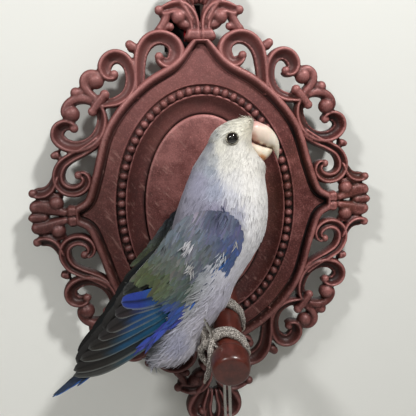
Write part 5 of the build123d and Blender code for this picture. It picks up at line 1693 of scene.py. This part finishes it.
class BIRD_OT_feet(bpy.types.Operator):
    """Shapes the scaly feet round the peg, with their claws and legs"""

    bl_idname = "bird.feet"
    bl_label = "Grip the peg"

    def execute(self, context):
        settings = context.scene.bird_settings
        skin = scaly_skin("Foot scales", tuple(settings.foot_colour))
        horn = tinted_horn("Claw horn", 0.4, 0.02)
        for side_name, (ankle, toe_paths) in ANKLES.items():
            ankle = np.array((ankle[0], -ankle[2], ankle[1]))
            toes, claws = [], []
            for path in toe_paths:
                places = np.array([(x, -depth, z, radius) for x, z, depth, radius in path])
                line = smooth_line(places, 52, space=3)
                t = np.linspace(0, 1, 52)
                knuckles = 1 + 0.10 * np.cos(t * 2 * math.pi * 3.4) + 0.06 * np.cos(t * 2 * math.pi * 14)
                toes.append(tube(line[:, :3], line[:, 3] * knuckles, 14, up=PEG_RUN))
                if path[0][3] < 1.0:
                    continue
                tip, onward = line[-1, :3], line[-1, :3] - line[-4, :3]
                onward /= np.linalg.norm(onward)
                outward = tip - peg_point(np.array(-tip[1] - PEG_START))
                outward /= np.linalg.norm(outward)
                s = np.linspace(0, 1, 14)[:, None]
                claw = tip - onward * 0.7 + onward * s * 4.4 + outward * (1.0 * np.sin(s * math.pi * 0.8)
                    - 1.6 * s**2)
                claws.append(tube(claw, 0.85 * (1 - s[:, 0]) ** 0.75 + 0.08, 12, up=PEG_RUN))
            toes.append(ball(ankle, (2.4, 2.6, 2.5), 14, 20))
            made = put_mesh(f"foot_{side_name}_toes", *gather(toes))
            finish_piece(made, skin, "feet", f"foot_{side_name}")
            points, faces = gather(claws)
            shade = linear_colours(np.tile((150, 142, 132.0), (len(points), 1)))
            made = put_mesh(f"claws_{side_name}_horn", points, faces, tints=shade)
            finish_piece(made, horn, "claw", f"claws_{side_name}")
            shank = ankle + np.linspace(0, 1, 16)[:, None] * (-1.6, -0.4, 11.0)
            made = put_mesh(f"leg_{side_name}_shank",
                *tube(shank, 1.75 + 0.12 * np.cos(np.arange(16) * 2.2), 16, up=(0, 1, 0)))
            finish_piece(made, skin, "feet", f"leg_{side_name}")
        return {"FINISHED"}


class BIRD_OT_wires(bpy.types.Operator):
    """Carves the form inside the skin, and finishes the wires and the skull"""

    bl_idname = "bird.wires"
    bl_label = "Finish the armature"

    def execute(self, context):
        bright = bare_metal("Bright wire", paint(214, 212, 206), 0.24, drawn=(1, 1, 0.15))
        for node in ("leg_wire_right", "leg_wire_left", "neck_wire", "tail_wire"):
            coat_node(node, bright)
        down = np.linspace(0.36, 0.90, 60)[:, None]
        around = np.linspace(-math.pi, math.pi, 64, endpoint=False)[None, :]
        skin, _ = body_surface(down, around)
        core = skin.mean(axis=1, keepdims=True)
        made = put_mesh("carved_form", *loft(core + (skin - core) * 0.80))
        balsa = fibre("Balsa form", paint(214, 184, 138), paint(176, 142, 98), scale=260.0,
            stretch=(1, 1, 0.2))
        finish_piece(made, balsa, "form", "body_form")
        coat_node("skull", fibre("Bone", paint(226, 214, 186), paint(190, 172, 138), scale=420.0,
            roughness=0.6, depth=0.0002))
        return {"FINISHED"}


# ---------------------------------------------------------------- stage
class PLAQUE_OT_stage(bpy.types.Operator):
    """Puts up the wall, the floor, the lights and the camera"""

    bl_idname = "plaque.stage"
    bl_label = "Set the stage"

    def execute(self, context):
        settings = context.scene.stage_settings
        scene = context.scene
        plaster = Recipe("Wall plaster")
        mottle = plaster.noise(3.0, 3.0)
        tone = plaster.ramp(mottle, "Fac",
            (0.3, tuple(c * 0.965 for c in settings.wall_colour[:3]) + (1.0,)),
            (0.7, tuple(settings.wall_colour)))
        plaster.colour((tone, "Color"))
        plaster.set(Roughness=0.75, Specular_IOR_Level=0.25)
        plaster.bump((plaster.noise(120.0, 4.0), "Fac", 0.05, 0.0006))
        floor_look = Recipe("Floor")
        floor_look.colour((floor_look.ramp(floor_look.noise(5.0, 3.0), "Fac", (0.3, paint(206, 206, 203)),
            (0.7, paint(216, 216, 213))), "Color"))
        floor_look.set(Roughness=0.7)
        facing = plaster.add("ShaderNodeNewGeometry")
        clear = plaster.add("ShaderNodeBsdfTransparent")
        one_sided = plaster.add("ShaderNodeMixShader")
        plaster.join(facing, "Backfacing", one_sided, "Fac")
        plaster.join(plaster.shader, "BSDF", one_sided, 1)
        plaster.join(clear, "BSDF", one_sided, 2)
        plaster.join(one_sided, "Shader", plaster.out, "Surface")
        wide = 900.0
        wall = put_mesh("wall", ((-wide, 0.4, -560.0), (wide, 0.4, -560.0), (wide, 0.4, wide),
            (-wide, 0.4, wide)), [[0, 1, 2, 3]])
        wall.data.materials.append(plaster.material)
        wall.visible_shadow = False
        wall.visible_diffuse = False
        wall.visible_glossy = False
        floor = put_mesh("floor", ((-1500, -1500, -560), (1500, -1500, -560), (1500, 1500, -560),
            (-1500, 1500, -560)), [[0, 1, 2, 3]])
        floor.data.materials.append(floor_look.material)

        def lamp(name, place, target, size, power, colour):
            light = bpy.data.lights.new(name, "AREA")
            light.shape, light.size, light.energy, light.color = "DISK", size, power, colour
            made = bpy.data.objects.new(name, light)
            made.location = place
            made.rotation_euler = (Vector(target) - Vector(place)).to_track_quat("-Z", "Y").to_euler()
            scene.collection.objects.link(made)

        lamp("ceiling_left", (-0.49, -0.57, 0.49), (0, 0, 0), 0.10, settings.key_power * 0.45,
            (1.0, 0.985, 0.965))
        lamp("ceiling_right", (0.35, -0.54, 0.70), (0, 0, 0), 0.10, settings.key_power, (1.0, 0.985, 0.965))
        lamp("soft_front", (-0.10, -1.5, 0.35), (0, 0, 0), 1.4, settings.fill_power, (1.0, 0.97, 0.93))
        lamp("soft_behind", (0.4, 1.2, 0.6), (0, 0, 0), 1.0, settings.fill_power, (1.0, 1.0, 1.0))
        world = bpy.data.worlds.new("room")
        world.use_nodes = True
        background = world.node_tree.nodes["Background"]
        background.inputs["Color"].default_value = (1.0, 0.93, 0.85, 1.0)
        background.inputs["Strength"].default_value = 0.11
        scene.world = world
        scene.view_settings.view_transform = "Standard"

        camera_data = bpy.data.cameras.new("camera")
        camera_data.lens, camera_data.sensor_width, camera_data.sensor_fit = CAMERA_LENS, 36.0, "AUTO"
        camera_data.clip_start = 0.01
        camera = bpy.data.objects.new("camera", camera_data)
        frame_axes = Matrix((CAMERA_RIGHT, CAMERA_UP, CAMERA_BACK)).transposed().to_4x4()
        camera.matrix_world = Matrix.Translation(Vector(CAMERA_PLACE * MM)) @ frame_axes
        scene.collection.objects.link(camera)
        scene.camera = camera
        return {"FINISHED"}


class PLAQUE_PT_sidebar(bpy.types.Panel):
    """Lists every piece of the plaque and its settings"""

    bl_idname = "PLAQUE_PT_sidebar"
    bl_label = "Lovebird Plaque"
    bl_space_type = "VIEW_3D"
    bl_region_type = "UI"
    bl_category = "Lovebird Plaque"

    def draw(self, context):
        for settings in (context.scene.plaque_settings, context.scene.peg_settings,
            context.scene.bird_settings,
                         context.scene.stage_settings):
            box = self.layout.box()
            for key in settings.__annotations__:
                box.prop(settings, key)
        for operator in OPERATORS:
            self.layout.operator(operator.bl_idname)


SETTINGS = (PlaqueSettings, PegSettings, BirdSettings, StageSettings)
OPERATORS = (
    PLAQUE_OT_medallion, PLAQUE_OT_panel, PLAQUE_OT_beads, PLAQUE_OT_scrolls, PLAQUE_OT_ends, PLAQUE_OT_back,
    PLAQUE_OT_peg,
    BIRD_OT_skin, BIRD_OT_down, BIRD_OT_fluff, BIRD_OT_wings, BIRD_OT_tail, BIRD_OT_bill, BIRD_OT_eyes,
    BIRD_OT_feet, BIRD_OT_wires,
    PLAQUE_OT_stage,
)


def register():
    for made in (*SETTINGS, *OPERATORS, PLAQUE_PT_sidebar):
        bpy.utils.register_class(made)
    bpy.types.Scene.plaque_settings = PointerProperty(type=PlaqueSettings)
    bpy.types.Scene.peg_settings = PointerProperty(type=PegSettings)
    bpy.types.Scene.bird_settings = PointerProperty(type=BirdSettings)
    bpy.types.Scene.stage_settings = PointerProperty(type=StageSettings)


def unregister():
    for name in ("plaque_settings", "peg_settings", "bird_settings", "stage_settings"):
        delattr(bpy.types.Scene, name)
    for made in reversed((*SETTINGS, *OPERATORS, PLAQUE_PT_sidebar)):
        bpy.utils.unregister_class(made)


def main():
    register()
    for operator in OPERATORS:
        group, name = operator.bl_idname.split(".")
        getattr(getattr(bpy.ops, group), name)()


if __name__ == "__main__":
    main()
